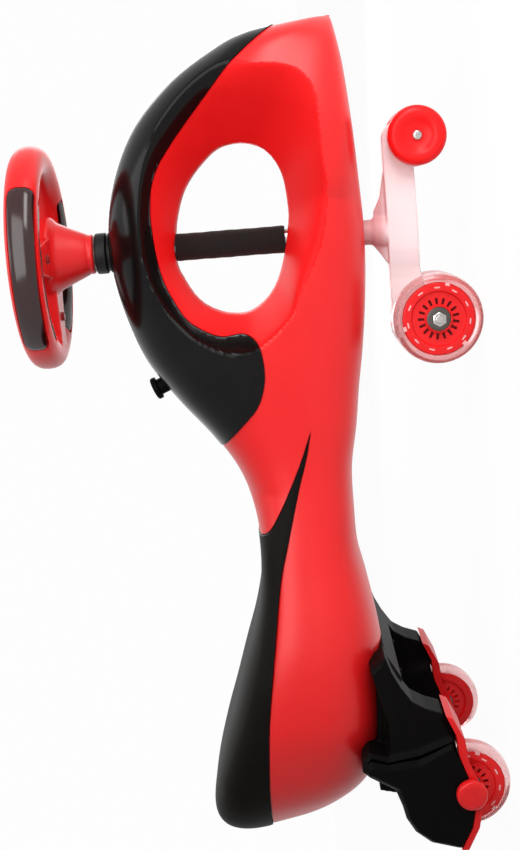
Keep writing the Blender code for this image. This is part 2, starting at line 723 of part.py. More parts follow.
def make_column():
    """A steel tube with a threaded plug in each end, and the foam sleeve on it."""
    top = HUB_FLOOR_Z - HUB_FLOOR - GAP
    bolt = bore_radius(BOLT_RADIUS, SCREW_GAP, AXLE_FLATS)
    low_plug = COLUMN_BOTTOM_Z + COLUMN_PLUG
    high_plug = top - COLUMN_PLUG
    profile = [(bolt, COLUMN_BOTTOM_Z), (COLUMN_RADIUS, COLUMN_BOTTOM_Z), (COLUMN_RADIUS, top), (bolt, top),
               (bolt, high_plug), (COLUMN_BORE, high_plug), (COLUMN_BORE, low_plug), (bolt, low_plug)]
    place("steering_column", turned(profile, ROUND), STEEL, STEERING)
    inner = bore_radius(COLUMN_RADIUS, GAP, ROUND)
    outer = COLUMN_RADIUS + SLEEVE_WALL
    low = WINDOW_BOTTOM_Z + SLEEVE_LOW_GAP
    high = WINDOW_TOP_Z - SLEEVE_HIGH_GAP
    profile = [(inner, low), (outer, low), (outer, high), (inner, high)]
    place("foam_sleeve", turned(profile, ROUND), FOAM, STEERING)


# Bolts and nuts

def bolt_body(radius, length, head_radius, head_height, segments=14):
    """A round headed bolt along Z: the head's underside at 0 and the shank below it."""
    profile = [(0.0, -length), (radius, -length), (radius, 0.0), (head_radius, 0.0),
               (head_radius, 0.6 * head_height), (0.7 * head_radius, head_height), (0.0, head_height)]
    return turned(profile, segments)


def hex_nut(bore, radius, height):
    """A hexagon nut along Z, from 0 up."""
    bm = bmesh.new()
    outer = [[bm.verts.new((radius * math.cos(math.pi * k / 3), radius * math.sin(math.pi * k / 3), z))
              for k in range(6)] for z in (0.0, height)]
    inner = [[bm.verts.new((bore * math.cos(math.pi * k / 6), bore * math.sin(math.pi * k / 6), z))
              for k in range(12)] for z in (0.0, height)]
    for k in range(6):
        m = (k + 1) % 6
        bm.faces.new((outer[0][k], outer[0][m], outer[1][m], outer[1][k]))
        for level in (0, 1):
            a, b, c = (inner[level][(2 * k + s) % 12] for s in (0, 1, 2))
            bm.faces.new((outer[level][k], outer[level][m], c, b, a))
    for k in range(12):
        m = (k + 1) % 12
        bm.faces.new((inner[0][k], inner[0][m], inner[1][m], inner[1][k]))
    return bm


# Caster arm

def arm_side_outline():
    """Side view of the arm: round nose at the bumper axle, straight beam, drop to the front axle."""
    front = BUMPER_AXLE
    rear = FRONT_AXLE
    nose = (ARM_TOP_Z - ARM_BOTTOM_Z) / 2 + ARM_NOSE_SWELL
    middle = (front[0], (ARM_TOP_Z + ARM_BOTTOM_Z) / 2)
    points = arc(middle, nose, 90, -90, 8)
    points += [(rear[0] + ARM_FILLET_START, ARM_BOTTOM_Z),
               (rear[0] + 0.7 * ARM_FILLET_START, ARM_BOTTOM_Z - ARM_EDGE)]
    points += arc(rear, ARM_BOSS_RADIUS, 0, -180, 8)
    back = rear[0] - ARM_BOSS_RADIUS
    return points + [(back, ARM_TOP_Z - ARM_EDGE), (back + ARM_EDGE, ARM_TOP_Z)]


def arm_plan_outline():
    """Plan view of the arm: slim beside the wheels, thicker at the column."""
    front = BUMPER_AXLE[0] + ARM_END
    rear = FRONT_AXLE[0] - ARM_END
    slim = ARM_HALF_WIDTH
    thick = ARM_WAIST_HALF_WIDTH
    behind = FRONT_AXLE[0] + FRONT_WHEEL_RADIUS + ARM_CLEAR
    ahead = BUMPER_AXLE[0] - BUMPER_WHEEL_RADIUS - ARM_CLEAR
    right = [(rear, -slim), (behind, -slim), (-ARM_SADDLE, -thick), (ARM_SADDLE, -thick), (ahead, -slim),
             (front, -slim)]
    return right + [(x, -y) for x, y in reversed(right)]


def make_arm():
    side = ARM_WAIST_HALF_WIDTH + ARM_SIDE_MARGIN
    arm = place("caster_arm", slab(arm_side_outline(), -side, side), PALE, STEERING)
    plan = place("arm_plan", plate(arm_plan_outline(), -BEYOND, ARM_TOP_Z + BEYOND), parent=STEERING)
    combine(arm, "INTERSECT", plan)
    low = ARM_BOTTOM_Z + GAP
    rise = ARM_HUB_HEIGHT
    hub_profile = [(0.0, low), (ARM_WAIST_HALF_WIDTH, low), (ARM_HUB_RADIUS, ARM_TOP_Z - 0.4 * rise),
                   (ARM_HUB_RADIUS, ARM_TOP_Z + 0.4 * rise), (1.34 * STUB_RADIUS, ARM_TOP_Z + 0.83 * rise),
                   (STUB_RADIUS, ARM_TOP_Z + rise), (STUB_RADIUS, STUB_TOP_Z), (0.0, STUB_TOP_Z)]
    hub = place("arm_hub", turned(hub_profile, ROUND), parent=STEERING)
    foot = (ARM_WEB_START, ARM_TOP_Z)
    top = (ARM_WEB_END, ARM_TOP_Z + ARM_WEB_HEIGHT)
    outline = along(foot, top, ((0.0, -0.31), (1.0, -0.31), (0.73, 0.08), (0.42, 0.38), (0.24, 0.85), (0.0, 1.0)))
    web = place("arm_web", slab(outline, -ARM_WEB_HALF_WIDTH, ARM_WEB_HALF_WIDTH), parent=STEERING)
    combine(arm, "UNION", hub, web)
    socket = rod("column_socket", bore_radius(COLUMN_RADIUS, GAP, ROUND), COLUMN_BOTTOM_Z - GAP, STUB_TOP_Z + BEYOND,
                 parent=STEERING)
    bolt_hole = rod("column_bolt_hole", bore_radius(BOLT_RADIUS, SCREW_GAP, AXLE_FLATS), 0.0,
                    COLUMN_BOTTOM_Z + COLUMN_PLUG, AXLE_FLATS, STEERING)
    head_room = rod("column_bolt_room", BOLT_HEAD_RADIUS + BOLT_HEAD_ROOM, 0.0, ARM_BOTTOM_Z + COLUMN_BOLT_INSET,
                    AXLE_FLATS, STEERING)
    wheel_hole = cross_rod("front_axle_hole", bore_radius(AXLE_RADIUS, GAP, AXLE_FLATS), FRONT_AXLE, -BEYOND, BEYOND,
                           AXLE_FLATS, STEERING)
    bumper_hole = cross_rod("bumper_axle_hole", bore_radius(BUMPER_BOLT_RADIUS, GAP, AXLE_FLATS), BUMPER_AXLE,
                            -BEYOND, BEYOND, AXLE_FLATS, STEERING)
    combine(arm, "DIFFERENCE", socket, bolt_hole, head_room, wheel_hole, bumper_hole)
    body = bolt_body(BOLT_RADIUS, COLUMN_BOLT_LENGTH, BOLT_HEAD_RADIUS, BOLT_HEAD_HEIGHT)
    bolt = place("column_bolt", body, STEEL, STEERING, (0.0, 0.0, ARM_BOTTOM_Z + COLUMN_BOLT_INSET - GAP))
    bolt.rotation_euler = (math.pi, 0.0, 0.0)


# Big wheels

def tyre_profile(radius):
    """Cross section of a tyre: a flat tread with round shoulders."""
    half = WHEEL_WIDTH / 2
    edge = TYRE_EDGE
    upper = [(radius - TYRE_DEPTH, half)]
    upper += [(radius - edge + edge * math.sin(math.radians(a)), half - edge + edge * math.cos(math.radians(a)))
              for a in (0, 45, 90)]
    return upper + [(r, -z) for r, z in reversed(upper)]


def core_profile(radius):
    """Cross section of a wheel core: a disc with a rim, thicker round the bearings."""
    half = WHEEL_WIDTH / 2
    outer = (radius - TYRE_DEPTH - GAP) * math.cos(math.pi / TYRE_SEGMENTS)
    seat = bore_radius(BEARING_RADIUS, GAP, ROUND)
    neck = AXLE_RADIUS + 0.003
    face = half - CORE_RECESS
    inside = half - BEARING_RECESS - BEARING_WIDTH
    upper = [(neck, inside), (seat, inside), (seat, half), (outer, face)]
    return upper + [(r, -z) for r, z in reversed(upper)]


def bearing_profile(outward):
    """Cross section of a ball bearing, standing in its seat on one side of the wheel."""
    bore = bore_radius(AXLE_RADIUS, GAP, BEARING_FLATS)
    near = WHEEL_WIDTH / 2 - BEARING_RECESS
    far = near - BEARING_WIDTH + GAP
    return [(r, outward * z) for r, z in ((bore, far), (BEARING_RADIUS, far), (BEARING_RADIUS, near), (bore, near))]


def make_wheel(name, radius, centre, y, parent=None):
    """Tyre, core and two bearings on one axle, with the axis along Y."""
    pieces = (("tyre", tyre_profile(radius), CLEAR, TYRE_SEGMENTS), ("core", core_profile(radius), RED, ROUND),
              ("outer_bearing", bearing_profile(1.0), STEEL, BEARING_FLATS),
              ("inner_bearing", bearing_profile(-1.0), STEEL, BEARING_FLATS))
    for part_name, profile, material, segments in pieces:
        piece = place("%s_%s" % (name, part_name), turned(profile, segments), material, parent,
                      (centre[0], y, centre[1]))
        piece.rotation_euler = (math.copysign(math.pi / 2, -y), 0.0, 0.0)


def make_front_wheels():
    y = ARM_HALF_WIDTH + RUN + WHEEL_WIDTH / 2
    make_wheel("front_right", FRONT_WHEEL_RADIUS, FRONT_AXLE, -y, STEERING)
    make_wheel("front_left", FRONT_WHEEL_RADIUS, FRONT_AXLE, y, STEERING)
    face = ARM_HALF_WIDTH + RUN + WHEEL_WIDTH - BEARING_RECESS + GAP
    body = bolt_body(AXLE_RADIUS, 2 * face + AXLE_NUT_HEIGHT + THREAD_END, AXLE_HEAD_RADIUS, AXLE_HEAD_HEIGHT)
    bolt = place("front_axle_bolt", body, STEEL, STEERING, (FRONT_AXLE[0], face, FRONT_AXLE[1]))
    sideways(bolt)
    body = hex_nut(bore_radius(AXLE_RADIUS, GAP, NUT_FLATS), AXLE_NUT_RADIUS, AXLE_NUT_HEIGHT)
    nut = place("front_axle_nut", body, STEEL, STEERING, (FRONT_AXLE[0], -face, FRONT_AXLE[1]))
    nut.rotation_euler = (math.pi / 2, 0.0, 0.0)


# Bumper wheels

def bumper_profile():
    """Cross section of the small solid wheel: barrel tread and a dished face."""
    half = BUMPER_WHEEL_WIDTH / 2
    radius = BUMPER_WHEEL_RADIUS
    bore = bore_radius(BUMPER_BOLT_RADIUS, GAP, ROUND)
    outer = [(bore, half - BUMPER_DISH), (BUMPER_HUB_RADIUS, half - 0.8 * BUMPER_DISH), (BUMPER_DISH_RADIUS, half),
             (radius - BUMPER_EDGE, half), (radius, half - BUMPER_EDGE)]
    return outer + [(r, -z) for r, z in reversed(outer)]


def make_bumper_wheels():
    y = ARM_HALF_WIDTH + RUN + BUMPER_WHEEL_WIDTH / 2
    for name, side in (("bumper_right", -y), ("bumper_left", y)):
        wheel = place(name + "_wheel", turned(bumper_profile(), ROUND), RED, STEERING,
                      (BUMPER_AXLE[0], side, BUMPER_AXLE[1]))
        sideways(wheel)
    face = ARM_HALF_WIDTH + RUN + BUMPER_WHEEL_WIDTH - BUMPER_DISH + GAP
    body = bolt_body(BUMPER_BOLT_RADIUS, 2 * face + BUMPER_NUT_HEIGHT + THREAD_END, BUMPER_HEAD_RADIUS,
                     BUMPER_HEAD_HEIGHT)
    bolt = place("bumper_bolt", body, STEEL, STEERING, (BUMPER_AXLE[0], -face, BUMPER_AXLE[1]))
    bolt.rotation_euler = (math.pi / 2, 0.0, 0.0)
    body = hex_nut(bore_radius(BUMPER_BOLT_RADIUS, GAP, NUT_FLATS), BUMPER_NUT_RADIUS, BUMPER_NUT_HEIGHT)
    nut = place("bumper_nut", body, STEEL, STEERING, (BUMPER_AXLE[0], face, BUMPER_AXLE[1]))
    sideways(nut)


# Rear housing, undertray and rear wheels

def leg_points(shares):
    """Side view points from the rear axle, by their share of a leg's reach and height."""
    x, z = REAR_AXLE
    return [(x + (HOUSING_FRONT if u > 0.0 else HOUSING_BACK) * u, z + HOUSING_TOP * v) for u, v in shares]


def fin_outline():
    """Side view of a leg's front fin, from its lower front corner round by the top."""
    return leg_points(((0.425, 0.124), (0.567, 0.227), (0.606, 0.381), (0.661, 0.505), (0.772, 0.608),
                       (0.874, 0.680), (1.0, 0.742), (0.906, 0.887), (0.504, 0.732), (0.315, 0.732),
                       (0.157, 0.732), (0.079, 0.124)))


def pod_top():
    """Side view of the wheel pod behind the fin, from its front lower corner over to its rear one."""
    return leg_points(((0.417, 0.144), (0.315, 0.474), (0.276, 0.753), (0.315, 0.928), (0.260, 0.990), (0.173, 1.0),
                       (0.126, 0.928), (0.031, 0.701), (-0.218, 0.639), (-0.436, 0.608), (-0.673, 0.526),
                       (-0.873, 0.381), (-0.945, 0.227), (-1.0, 0.021)))


def pod_outline():
    """The whole pod in the side view: closed along the top of the undertray."""
    return pod_top() + leg_points(((-0.545, 0.010), (0.079, 0.031), (0.268, 0.103)))


def pod_hollow(name, low, high):
    """The hollow on one side of the wheel, open downwards and closed off below the body."""
    top = pod_top()
    below = REAR_AXLE[1] / 2
    outline = inset_outline(top + [(top[-1][0], below), (top[0][0], below)], HOUSING_WALL)
    hollow = place(name, slab(outline, min(low, high), max(low, high)))
    combine(hollow, "DIFFERENCE", body_loft(name + "_roof", GAP + HOUSING_WALL))
    return hollow


def tray_outline():
    """Side view of the undertray, which follows the lower edge of fin and pod and holds the axle."""
    return leg_points(((0.575, 0.211), (0.425, 0.121), (0.268, 0.098), (0.079, 0.028), (-0.545, 0.007),
                       (-1.0, 0.018), (-1.0, -0.046), (-0.545, -0.062), (0.063, -0.062), (0.220, 0.010),
                       (0.394, 0.041), (0.551, 0.144)))


def bridge_bottom():
    """Underside of the saddle that joins the legs under the seat, from front to rear."""
    return leg_points(((0.961, 0.722), (0.772, 0.577), (0.157, 0.536), (-0.255, 0.619)))


def bridge_outline():
    """Side view of that saddle."""
    return bridge_bottom() + leg_points(((-0.182, 0.825), (0.929, 0.825)))


def bridge_underside(x):
    """Height of the saddle's underside at x."""
    line = sorted(bridge_bottom())
    return float(np.interp(x, [point[0] for point in line], [point[1] for point in line]))


def housing_screw_places():
    """Plan places of the four screws that hold the housing to the body."""
    return [(REAR_AXLE[0] + dx, side * HOUSING_SCREW_SIDE) for dx in HOUSING_SCREW_PLACES for side in (-1, 1)]


def wheel_well(name, side):
    """Room for a rear wheel: its own outline grown, open downwards."""
    x, z = REAR_AXLE
    room = REAR_WHEEL_RADIUS + WHEEL_ROOM
    outline = arc((x, z), room, 180, 0, 12) + [(x + room, z - BEYOND), (x - room, z - BEYOND)]
    half = WHEEL_WIDTH / 2 + RUN
    low = side * REAR_HALF_TRACK - half
    return guide(place(name, slab(outline, low, low + 2 * half)))


def make_housing():
    housing = place("rear_housing", slab(bridge_outline(), -BRIDGE_HALF_WIDTH, BRIDGE_HALF_WIDTH), BLACK)
    for name, side in (("right", -1), ("left", 1)):
        fin_low = side * REAR_HALF_TRACK - FIN_HALF_THICKNESS
        pod_low = side * REAR_HALF_TRACK - POD_HALF_THICKNESS
        fin = place("fin_" + name, slab(fin_outline(), fin_low, fin_low + 2 * FIN_HALF_THICKNESS))
        pod = place("pod_" + name, slab(pod_outline(), pod_low, pod_low + 2 * POD_HALF_THICKNESS))
        combine(housing, "UNION", fin, pod)
    combine(housing, "DIFFERENCE", body_loft("housing_saddle", GAP))
    for name, side in (("right", -1), ("left", 1)):
        near = side * REAR_HALF_TRACK - WHEEL_WIDTH / 2 - RUN - HOUSING_WALL
        far = side * REAR_HALF_TRACK + WHEEL_WIDTH / 2 + RUN + HOUSING_WALL
        end = POD_HALF_THICKNESS - HOUSING_WALL
        combine(housing, "DIFFERENCE", wheel_well("well_" + name, side),
                pod_hollow("hollow_%s_a" % name, side * REAR_HALF_TRACK - end, near),
                pod_hollow("hollow_%s_b" % name, far, side * REAR_HALF_TRACK + end))
    reach = REAR_HALF_TRACK + POD_HALF_THICKNESS + BEYOND
    combine(housing, "DIFFERENCE", cross_rod("rear_axle_groove", bore_radius(AXLE_RADIUS, GAP, AXLE_FLATS), REAR_AXLE,
                                             -reach, reach, AXLE_FLATS))
    for k, (x, y) in enumerate(housing_screw_places()):
        hole = rod("housing_hole_%d" % (k + 1), bore_radius(HOUSING_SCREW_RADIUS, SCREW_GAP, SCREW_FLATS),
                   REAR_AXLE[1], SEAT_BOTTOM_Z + BEYOND, SCREW_FLATS, centre=(x, y))
        combine(housing, "DIFFERENCE", hole)
    return housing


def make_housing_screws():
    for k, (x, y) in enumerate(housing_screw_places()):
        body = bolt_body(HOUSING_SCREW_RADIUS, HOUSING_SCREW_LENGTH, HOUSING_SCREW_HEAD, SCREW_HEAD_HEIGHT,
                         SCREW_FLATS)
        screw = place("housing_screw_%d" % (k + 1), body, STEEL, location=(x, y, bridge_underside(x) - SCREW_SEAT))
        screw.rotation_euler = (math.pi, 0.0, 0.0)


def make_undertray():
    outer = REAR_HALF_TRACK + POD_HALF_THICKNESS - TRAY_INSET
    tray = place("undertray", slab(tray_outline(), -outer, outer), RED)
    reach = outer + BEYOND
    x, z = REAR_AXLE
    split = block((x + TRAY_BAR, -TRAY_SPLIT, z - BEYOND), (x + HOUSING_FRONT, TRAY_SPLIT, z + BEYOND))
    combine(tray, "DIFFERENCE", place("tray_split", split))
    combine(tray, "DIFFERENCE", wheel_well("tray_well_right", -1), wheel_well("tray_well_left", 1),
            cross_rod("tray_axle_groove", bore_radius(AXLE_RADIUS, GAP, AXLE_FLATS), REAR_AXLE, -reach, reach,
                      AXLE_FLATS))


def make_rear_axle():
    reach = REAR_HALF_TRACK + POD_HALF_THICKNESS
    axle = cross_rod("rear_axle", AXLE_RADIUS, REAR_AXLE, -reach - AXLE_REACH, reach + AXLE_REACH, AXLE_FLATS)
    axle.data.materials.append(STEEL)
    bore = bore_radius(AXLE_RADIUS, GAP, AXLE_FLATS)
    profile = [(bore, GAP), (CAP_RADIUS, GAP), (CAP_RADIUS, CAP_DEPTH - 0.7 * CAP_CHAMFER),
               (CAP_RADIUS - CAP_CHAMFER, CAP_DEPTH), (0.0, CAP_DEPTH), (0.0, CAP_BORE_DEPTH), (bore, CAP_BORE_DEPTH)]
    for name, side in (("right", -1), ("left", 1)):
        cap = place("axle_cap_" + name, turned(profile, ROUND), RED,
                    location=(REAR_AXLE[0], side * reach, REAR_AXLE[1]))
        cap.rotation_euler = (-side * math.pi / 2, 0.0, 0.0)


def make_rear_wheels():
    make_wheel("rear_right", REAR_WHEEL_RADIUS, REAR_AXLE, -REAR_HALF_TRACK)
    make_wheel("rear_left", REAR_WHEEL_RADIUS, REAR_AXLE, REAR_HALF_TRACK)


# Steering wheel

def rim_point(angle, grow):
    """A point of the rim's cross section, or of the same section grown: (radius, height)."""
    return (RIM_RADIUS + (RIM_HALF_WIDTH + grow) * rounded_power(math.cos(angle), RIM_SQUARENESS),
            RIM_Z + (RIM_HALF_HEIGHT + grow) * rounded_power(math.sin(angle), RIM_SQUARENESS))


def rim_half(side):
    """Upper or lower half of the rim's cross section, cut flat beside the parting line."""
    points = [rim_point(side * math.radians(a), 0.0) for a in (0, 20, 40, 60, 90, 120, 140, 160, 180)]
    seam = RIM_Z + side * GAP / 2
    return [(r, side * max(side * z, side * seam)) for r, z in points]


def spoke(name, angle, low, high):
    """One spoke from the hub into the rim, wider at the hub."""
    half = SPOKE_HALF_WIDTH
    end = RIM_RADIUS - 0.4 * RIM_HALF_WIDTH
    outline = [(SPOKE_FOOT, -1.15 * half), (end, -0.75 * half), (end, 0.75 * half), (SPOKE_FOOT, 1.15 * half)]
    thing = place(name, plate(outline, low, high), parent=STEERING)
    thing.rotation_euler = (0.0, 0.0, angle)
    return thing


SPOKE_ANGLES = [math.radians(a) for a in (90.0, 180.0, 270.0)]


def grip_body(name, side, grow, material=None):
    """A grip insert: a curved pad on the outside of the rim, swept round an arc."""
    ends = 1.5 * math.degrees(grow / RIM_HALF_WIDTH)
    turns = [math.radians(a) for a in (62 + ends, 45, 25, 0, -20, -38 - ends)]
    outside = [rim_point(turn, GRIP_PROUD + grow) for turn in turns]
    inside = [rim_point(turn, -GRIP_DEPTH - grow) for turn in reversed(turns)]
    edge = grow / (RIM_RADIUS - RIM_HALF_WIDTH)
    rings = []
    steps = 9
    for k in range(steps + 1):
        angle = side * math.pi / 2 + (GRIP_HALF_ANGLE + edge) * (2.0 * k / steps - 1.0)
        rings.append([(r * math.cos(angle), r * math.sin(angle), z) for r, z in outside + inside])
    return place(name, skin(rings), material, STEERING)


def make_steering_wheel():
    seam_low = RIM_Z - GAP / 2
    seam_high = RIM_Z + GAP / 2
    lower = place("wheel_lower_shell", turned(rim_half(-1), RIM_SEGMENTS, 0.5), RED, STEERING)
    neck = CONE_BOTTOM_RADIUS - CONE_STEP
    cone = [(0.0, CONE_BOTTOM_Z), (neck, CONE_BOTTOM_Z), (neck, CONE_BOTTOM_Z + 5 * CONE_STEP),
            (CONE_BOTTOM_RADIUS, CONE_BOTTOM_Z + 6 * CONE_STEP),
            (CONE_TOP_RADIUS - 2 * CONE_STEP, SPOKE_BOTTOM_Z - 10 * CONE_STEP),
            (CONE_TOP_RADIUS, SPOKE_BOTTOM_Z - 2 * CONE_STEP), (HUB_RADIUS, SPOKE_BOTTOM_Z + 2 * CONE_STEP),
            (HUB_RADIUS, seam_low), (0.0, seam_low)]
    combine(lower, "UNION", place("hub_cone", turned(cone, ROUND), parent=STEERING))
    upper = place("wheel_upper_shell", turned(rim_half(1), RIM_SEGMENTS, 0.5), RED, STEERING)
    hub = [(0.0, seam_high), (HUB_RADIUS, seam_high), (HUB_RADIUS, HUB_TOP_Z - HUB_EDGE),
           (HUB_RADIUS - HUB_EDGE, HUB_TOP_Z), (0.0, HUB_TOP_Z)]
    combine(upper, "UNION", place("hub_cap", turned(hub, ROUND), parent=STEERING))
    for k, angle in enumerate(SPOKE_ANGLES):
        combine(lower, "UNION", spoke("lower_spoke_%d" % (k + 1), angle, SPOKE_BOTTOM_Z, seam_low))
        combine(upper, "UNION", spoke("upper_spoke_%d" % (k + 1), angle, seam_high, SPOKE_TOP_Z))
    ledge = RIM_Z - BOARD_THICKNESS - BOARD_DROP
    room = HUB_RADIUS - SHELL_WALL
    combine(lower, "DIFFERENCE",
            rod("column_seat", bore_radius(COLUMN_RADIUS, GAP, ROUND), CONE_BOTTOM_Z - BEYOND,
                HUB_FLOOR_Z - HUB_FLOOR, parent=STEERING),
            rod("hub_bolt_hole", bore_radius(BOLT_RADIUS, SCREW_GAP, AXLE_FLATS), HUB_FLOOR_Z - 2 * HUB_FLOOR,
                HUB_FLOOR_Z + HUB_FLOOR, AXLE_FLATS, STEERING),
            rod("cell_room", room - CELL_SHELF, HUB_FLOOR_Z, RIM_Z + BEYOND, parent=STEERING),
            rod("board_room", room, ledge, RIM_Z + BEYOND, parent=STEERING))
    combine(upper, "DIFFERENCE",
            rod("horn_room", HORN_RADIUS + HORN_LIP + HORN_ROOM, RIM_Z - BEYOND, HUB_TOP_Z - SHELL_WALL,
                parent=STEERING),
            rod("horn_hole", bore_radius(HORN_RADIUS, GAP, ROUND), RIM_Z - BEYOND, HUB_TOP_Z + BEYOND,
                parent=STEERING))
    for name, side in (("right", -1), ("left", 1)):
        pocket = grip_body("grip_pocket_" + name, side, GAP)
        combine(lower, "DIFFERENCE", pocket)
        combine(upper, "DIFFERENCE", pocket)
        grip_body("grip_" + name, side, 0.0, SMOKE)
    for k, angle in enumerate(SPOKE_ANGLES):
        reach = (HUB_RADIUS + RIM_RADIUS - RIM_HALF_WIDTH) / 2
        centre = (reach * math.cos(angle), reach * math.sin(angle))
        shaft = bore_radius(HOUSING_SCREW_RADIUS, SCREW_GAP, SCREW_FLATS)
        hole = rod("wheel_screw_hole_%d" % (k + 1), shaft, SPOKE_BOTTOM_Z - SHELL_WALL,
                   RIM_Z + WHEEL_SCREW_REACH + SCREW_END_ROOM, SCREW_FLATS, STEERING, centre)
        combine(lower, "DIFFERENCE", hole)
        combine(upper, "DIFFERENCE", hole)
        body = bolt_body(HOUSING_SCREW_RADIUS, RIM_Z + WHEEL_SCREW_REACH - SPOKE_BOTTOM_Z, WHEEL_SCREW_HEAD,
                         SCREW_HEAD_HEIGHT, SCREW_FLATS)
        screw = place("wheel_screw_%d" % (k + 1), body, STEEL, STEERING, (centre[0], centre[1], SPOKE_BOTTOM_Z - GAP))
        screw.rotation_euler = (math.pi, 0.0, 0.0)
    body = bolt_body(BOLT_RADIUS, HUB_BOLT_LENGTH, BOLT_HEAD_RADIUS, BOLT_HEAD_HEIGHT)
    place("hub_bolt", body, STEEL, STEERING, (0.0, 0.0, HUB_FLOOR_Z + GAP))


def make_horn():
    """Cells and circuit board in the hub, and the horn button on its return spring."""
    for name, side in (("right", -1), ("left", 1)):
        end = CELL_LENGTH / 2
        profile = [(0.0, -end), (CELL_RADIUS, -end), (CELL_RADIUS, end - CELL_END), (CELL_END_RADIUS, end - CELL_END),
                   (CELL_END_RADIUS, end), (0.0, end)]
        cell = place("cell_" + name, turned(profile, AXLE_FLATS), CELL_SKIN, STEERING,
                     (0.0, side * (BOLT_HEAD_RADIUS + CELL_GAP + CELL_RADIUS), HUB_FLOOR_Z + CELL_RADIUS + GAP))
        cell.rotation_euler = (0.0, side * math.pi / 2, 0.0)
    board_low = RIM_Z - BOARD_THICKNESS - BOARD_DROP + GAP
    board_high = board_low + BOARD_THICKNESS
    rim = HUB_RADIUS - SHELL_WALL - RUN
    place("sound_board", turned([(0.0, board_low), (rim, board_low), (rim, board_high), (0.0, board_high)], ROUND),
          BOARD_GREEN, STEERING)
    ceiling = HUB_TOP_Z - SHELL_WALL - GAP
    top = HUB_TOP_Z + HORN_RISE
    flange = HORN_RADIUS + HORN_LIP
    underside = ceiling - HORN_FLANGE
    profile = [(0.0, underside), (flange, underside), (flange, ceiling), (HORN_RADIUS, ceiling),
               (HORN_RADIUS, top - HORN_EDGE), (HORN_RADIUS - 0.8 * HORN_EDGE, top - 0.4 * HORN_EDGE),
               (0.6 * HORN_RADIUS, top - 0.1 * HORN_EDGE), (0.0, top)]
    place("horn_button", turned(profile, ROUND), RED, STEERING)
    make_spring(board_high + GAP + SPRING_WIRE, underside - GAP - SPRING_WIRE)


def make_spring(low, high):
    """The horn's return spring, one open coil of round wire."""
    rings = []
    steps = SPRING_TURNS * 8
    for k in range(steps + 1):
        angle = 2.0 * math.pi * SPRING_TURNS * k / steps
        height = low + (high - low) * k / steps
        ring = []
        for corner in range(4):
            turn = 2.0 * math.pi * corner / 4
            radius = SPRING_RADIUS + SPRING_WIRE * math.cos(turn)
            ring.append((radius * math.cos(angle), radius * math.sin(angle), height + SPRING_WIRE * math.sin(turn)))
        rings.append(ring)
    place("horn_spring", skin(rings), STEEL, STEERING)


make_body()
make_fairing()
make_seat()
make_knob()
make_bushes()
make_column()
make_arm()
make_front_wheels()
make_bumper_wheels()
make_housing()
make_housing_screws()
make_undertray()
make_rear_axle()
make_rear_wheels()
make_steering_wheel()
make_horn()
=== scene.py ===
"""Swing car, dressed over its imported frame: moulded body, covers, steering wheel, caster arm and wheels."""

import json
import math

import bmesh
import bpy
import numpy as np
from mathutils import Matrix, Vector

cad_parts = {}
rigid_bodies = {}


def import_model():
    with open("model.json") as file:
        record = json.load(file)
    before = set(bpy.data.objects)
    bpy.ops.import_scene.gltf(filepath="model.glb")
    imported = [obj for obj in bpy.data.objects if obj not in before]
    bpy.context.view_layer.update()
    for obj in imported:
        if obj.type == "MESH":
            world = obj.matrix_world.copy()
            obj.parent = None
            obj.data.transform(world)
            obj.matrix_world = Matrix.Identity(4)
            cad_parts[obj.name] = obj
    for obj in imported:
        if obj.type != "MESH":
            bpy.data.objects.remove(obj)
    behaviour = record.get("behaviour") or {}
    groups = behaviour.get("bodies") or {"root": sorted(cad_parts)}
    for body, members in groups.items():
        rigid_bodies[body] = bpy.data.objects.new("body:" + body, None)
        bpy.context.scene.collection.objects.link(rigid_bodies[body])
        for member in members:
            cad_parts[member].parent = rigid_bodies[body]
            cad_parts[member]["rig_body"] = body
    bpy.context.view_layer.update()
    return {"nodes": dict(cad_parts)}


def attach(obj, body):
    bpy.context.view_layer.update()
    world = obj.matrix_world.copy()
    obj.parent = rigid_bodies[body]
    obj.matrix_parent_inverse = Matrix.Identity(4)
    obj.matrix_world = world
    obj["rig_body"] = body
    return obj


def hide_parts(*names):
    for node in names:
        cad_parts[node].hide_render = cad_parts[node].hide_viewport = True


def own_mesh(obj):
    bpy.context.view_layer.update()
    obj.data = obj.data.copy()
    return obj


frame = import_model()


# Main sizes, in metres

NOSE = (0.3835, 0.131)
TAIL_X = -0.3825
TAIL_Z = 0.240
ARCH = (0.190, 0.347)
BELLY_Z = 0.107
WAIST_X = -0.030
WAIST_TOP_Z = 0.237
WAIST_BOTTOM_Z = 0.128
SEAT_X = -0.130
SEAT_FRONT_Z = 0.219
SEAT_BACK_Z = 0.276
SEAT_BOTTOM_Z = 0.104
NOSE_HALF_WIDTH = 0.094
WAIST_HALF_WIDTH = 0.072
SEAT_HALF_WIDTH = 0.122
UPPER_SQUARENESS = 2.4
LOWER_SQUARENESS = 3.0

WINDOW = (0.196, 0.2325)
THROAT = 0.012  # half depth of the window's straight wall
COVER_PROUD = 0.0010
COVER_THICKNESS = 0.0030
COVER_GAP = 0.0004
COVER_FIT = 0.0003  # between the body and the housing that holds it
BAND_WIDTH = 0.0100  # bevel round the fairing
BAND_RISE = 0.0030
BEYOND = 0.060  # how far a cut runs on past the part
CLEAR_OF_BODY = 0.2  # how far a cutting tool reaches to each side of the car

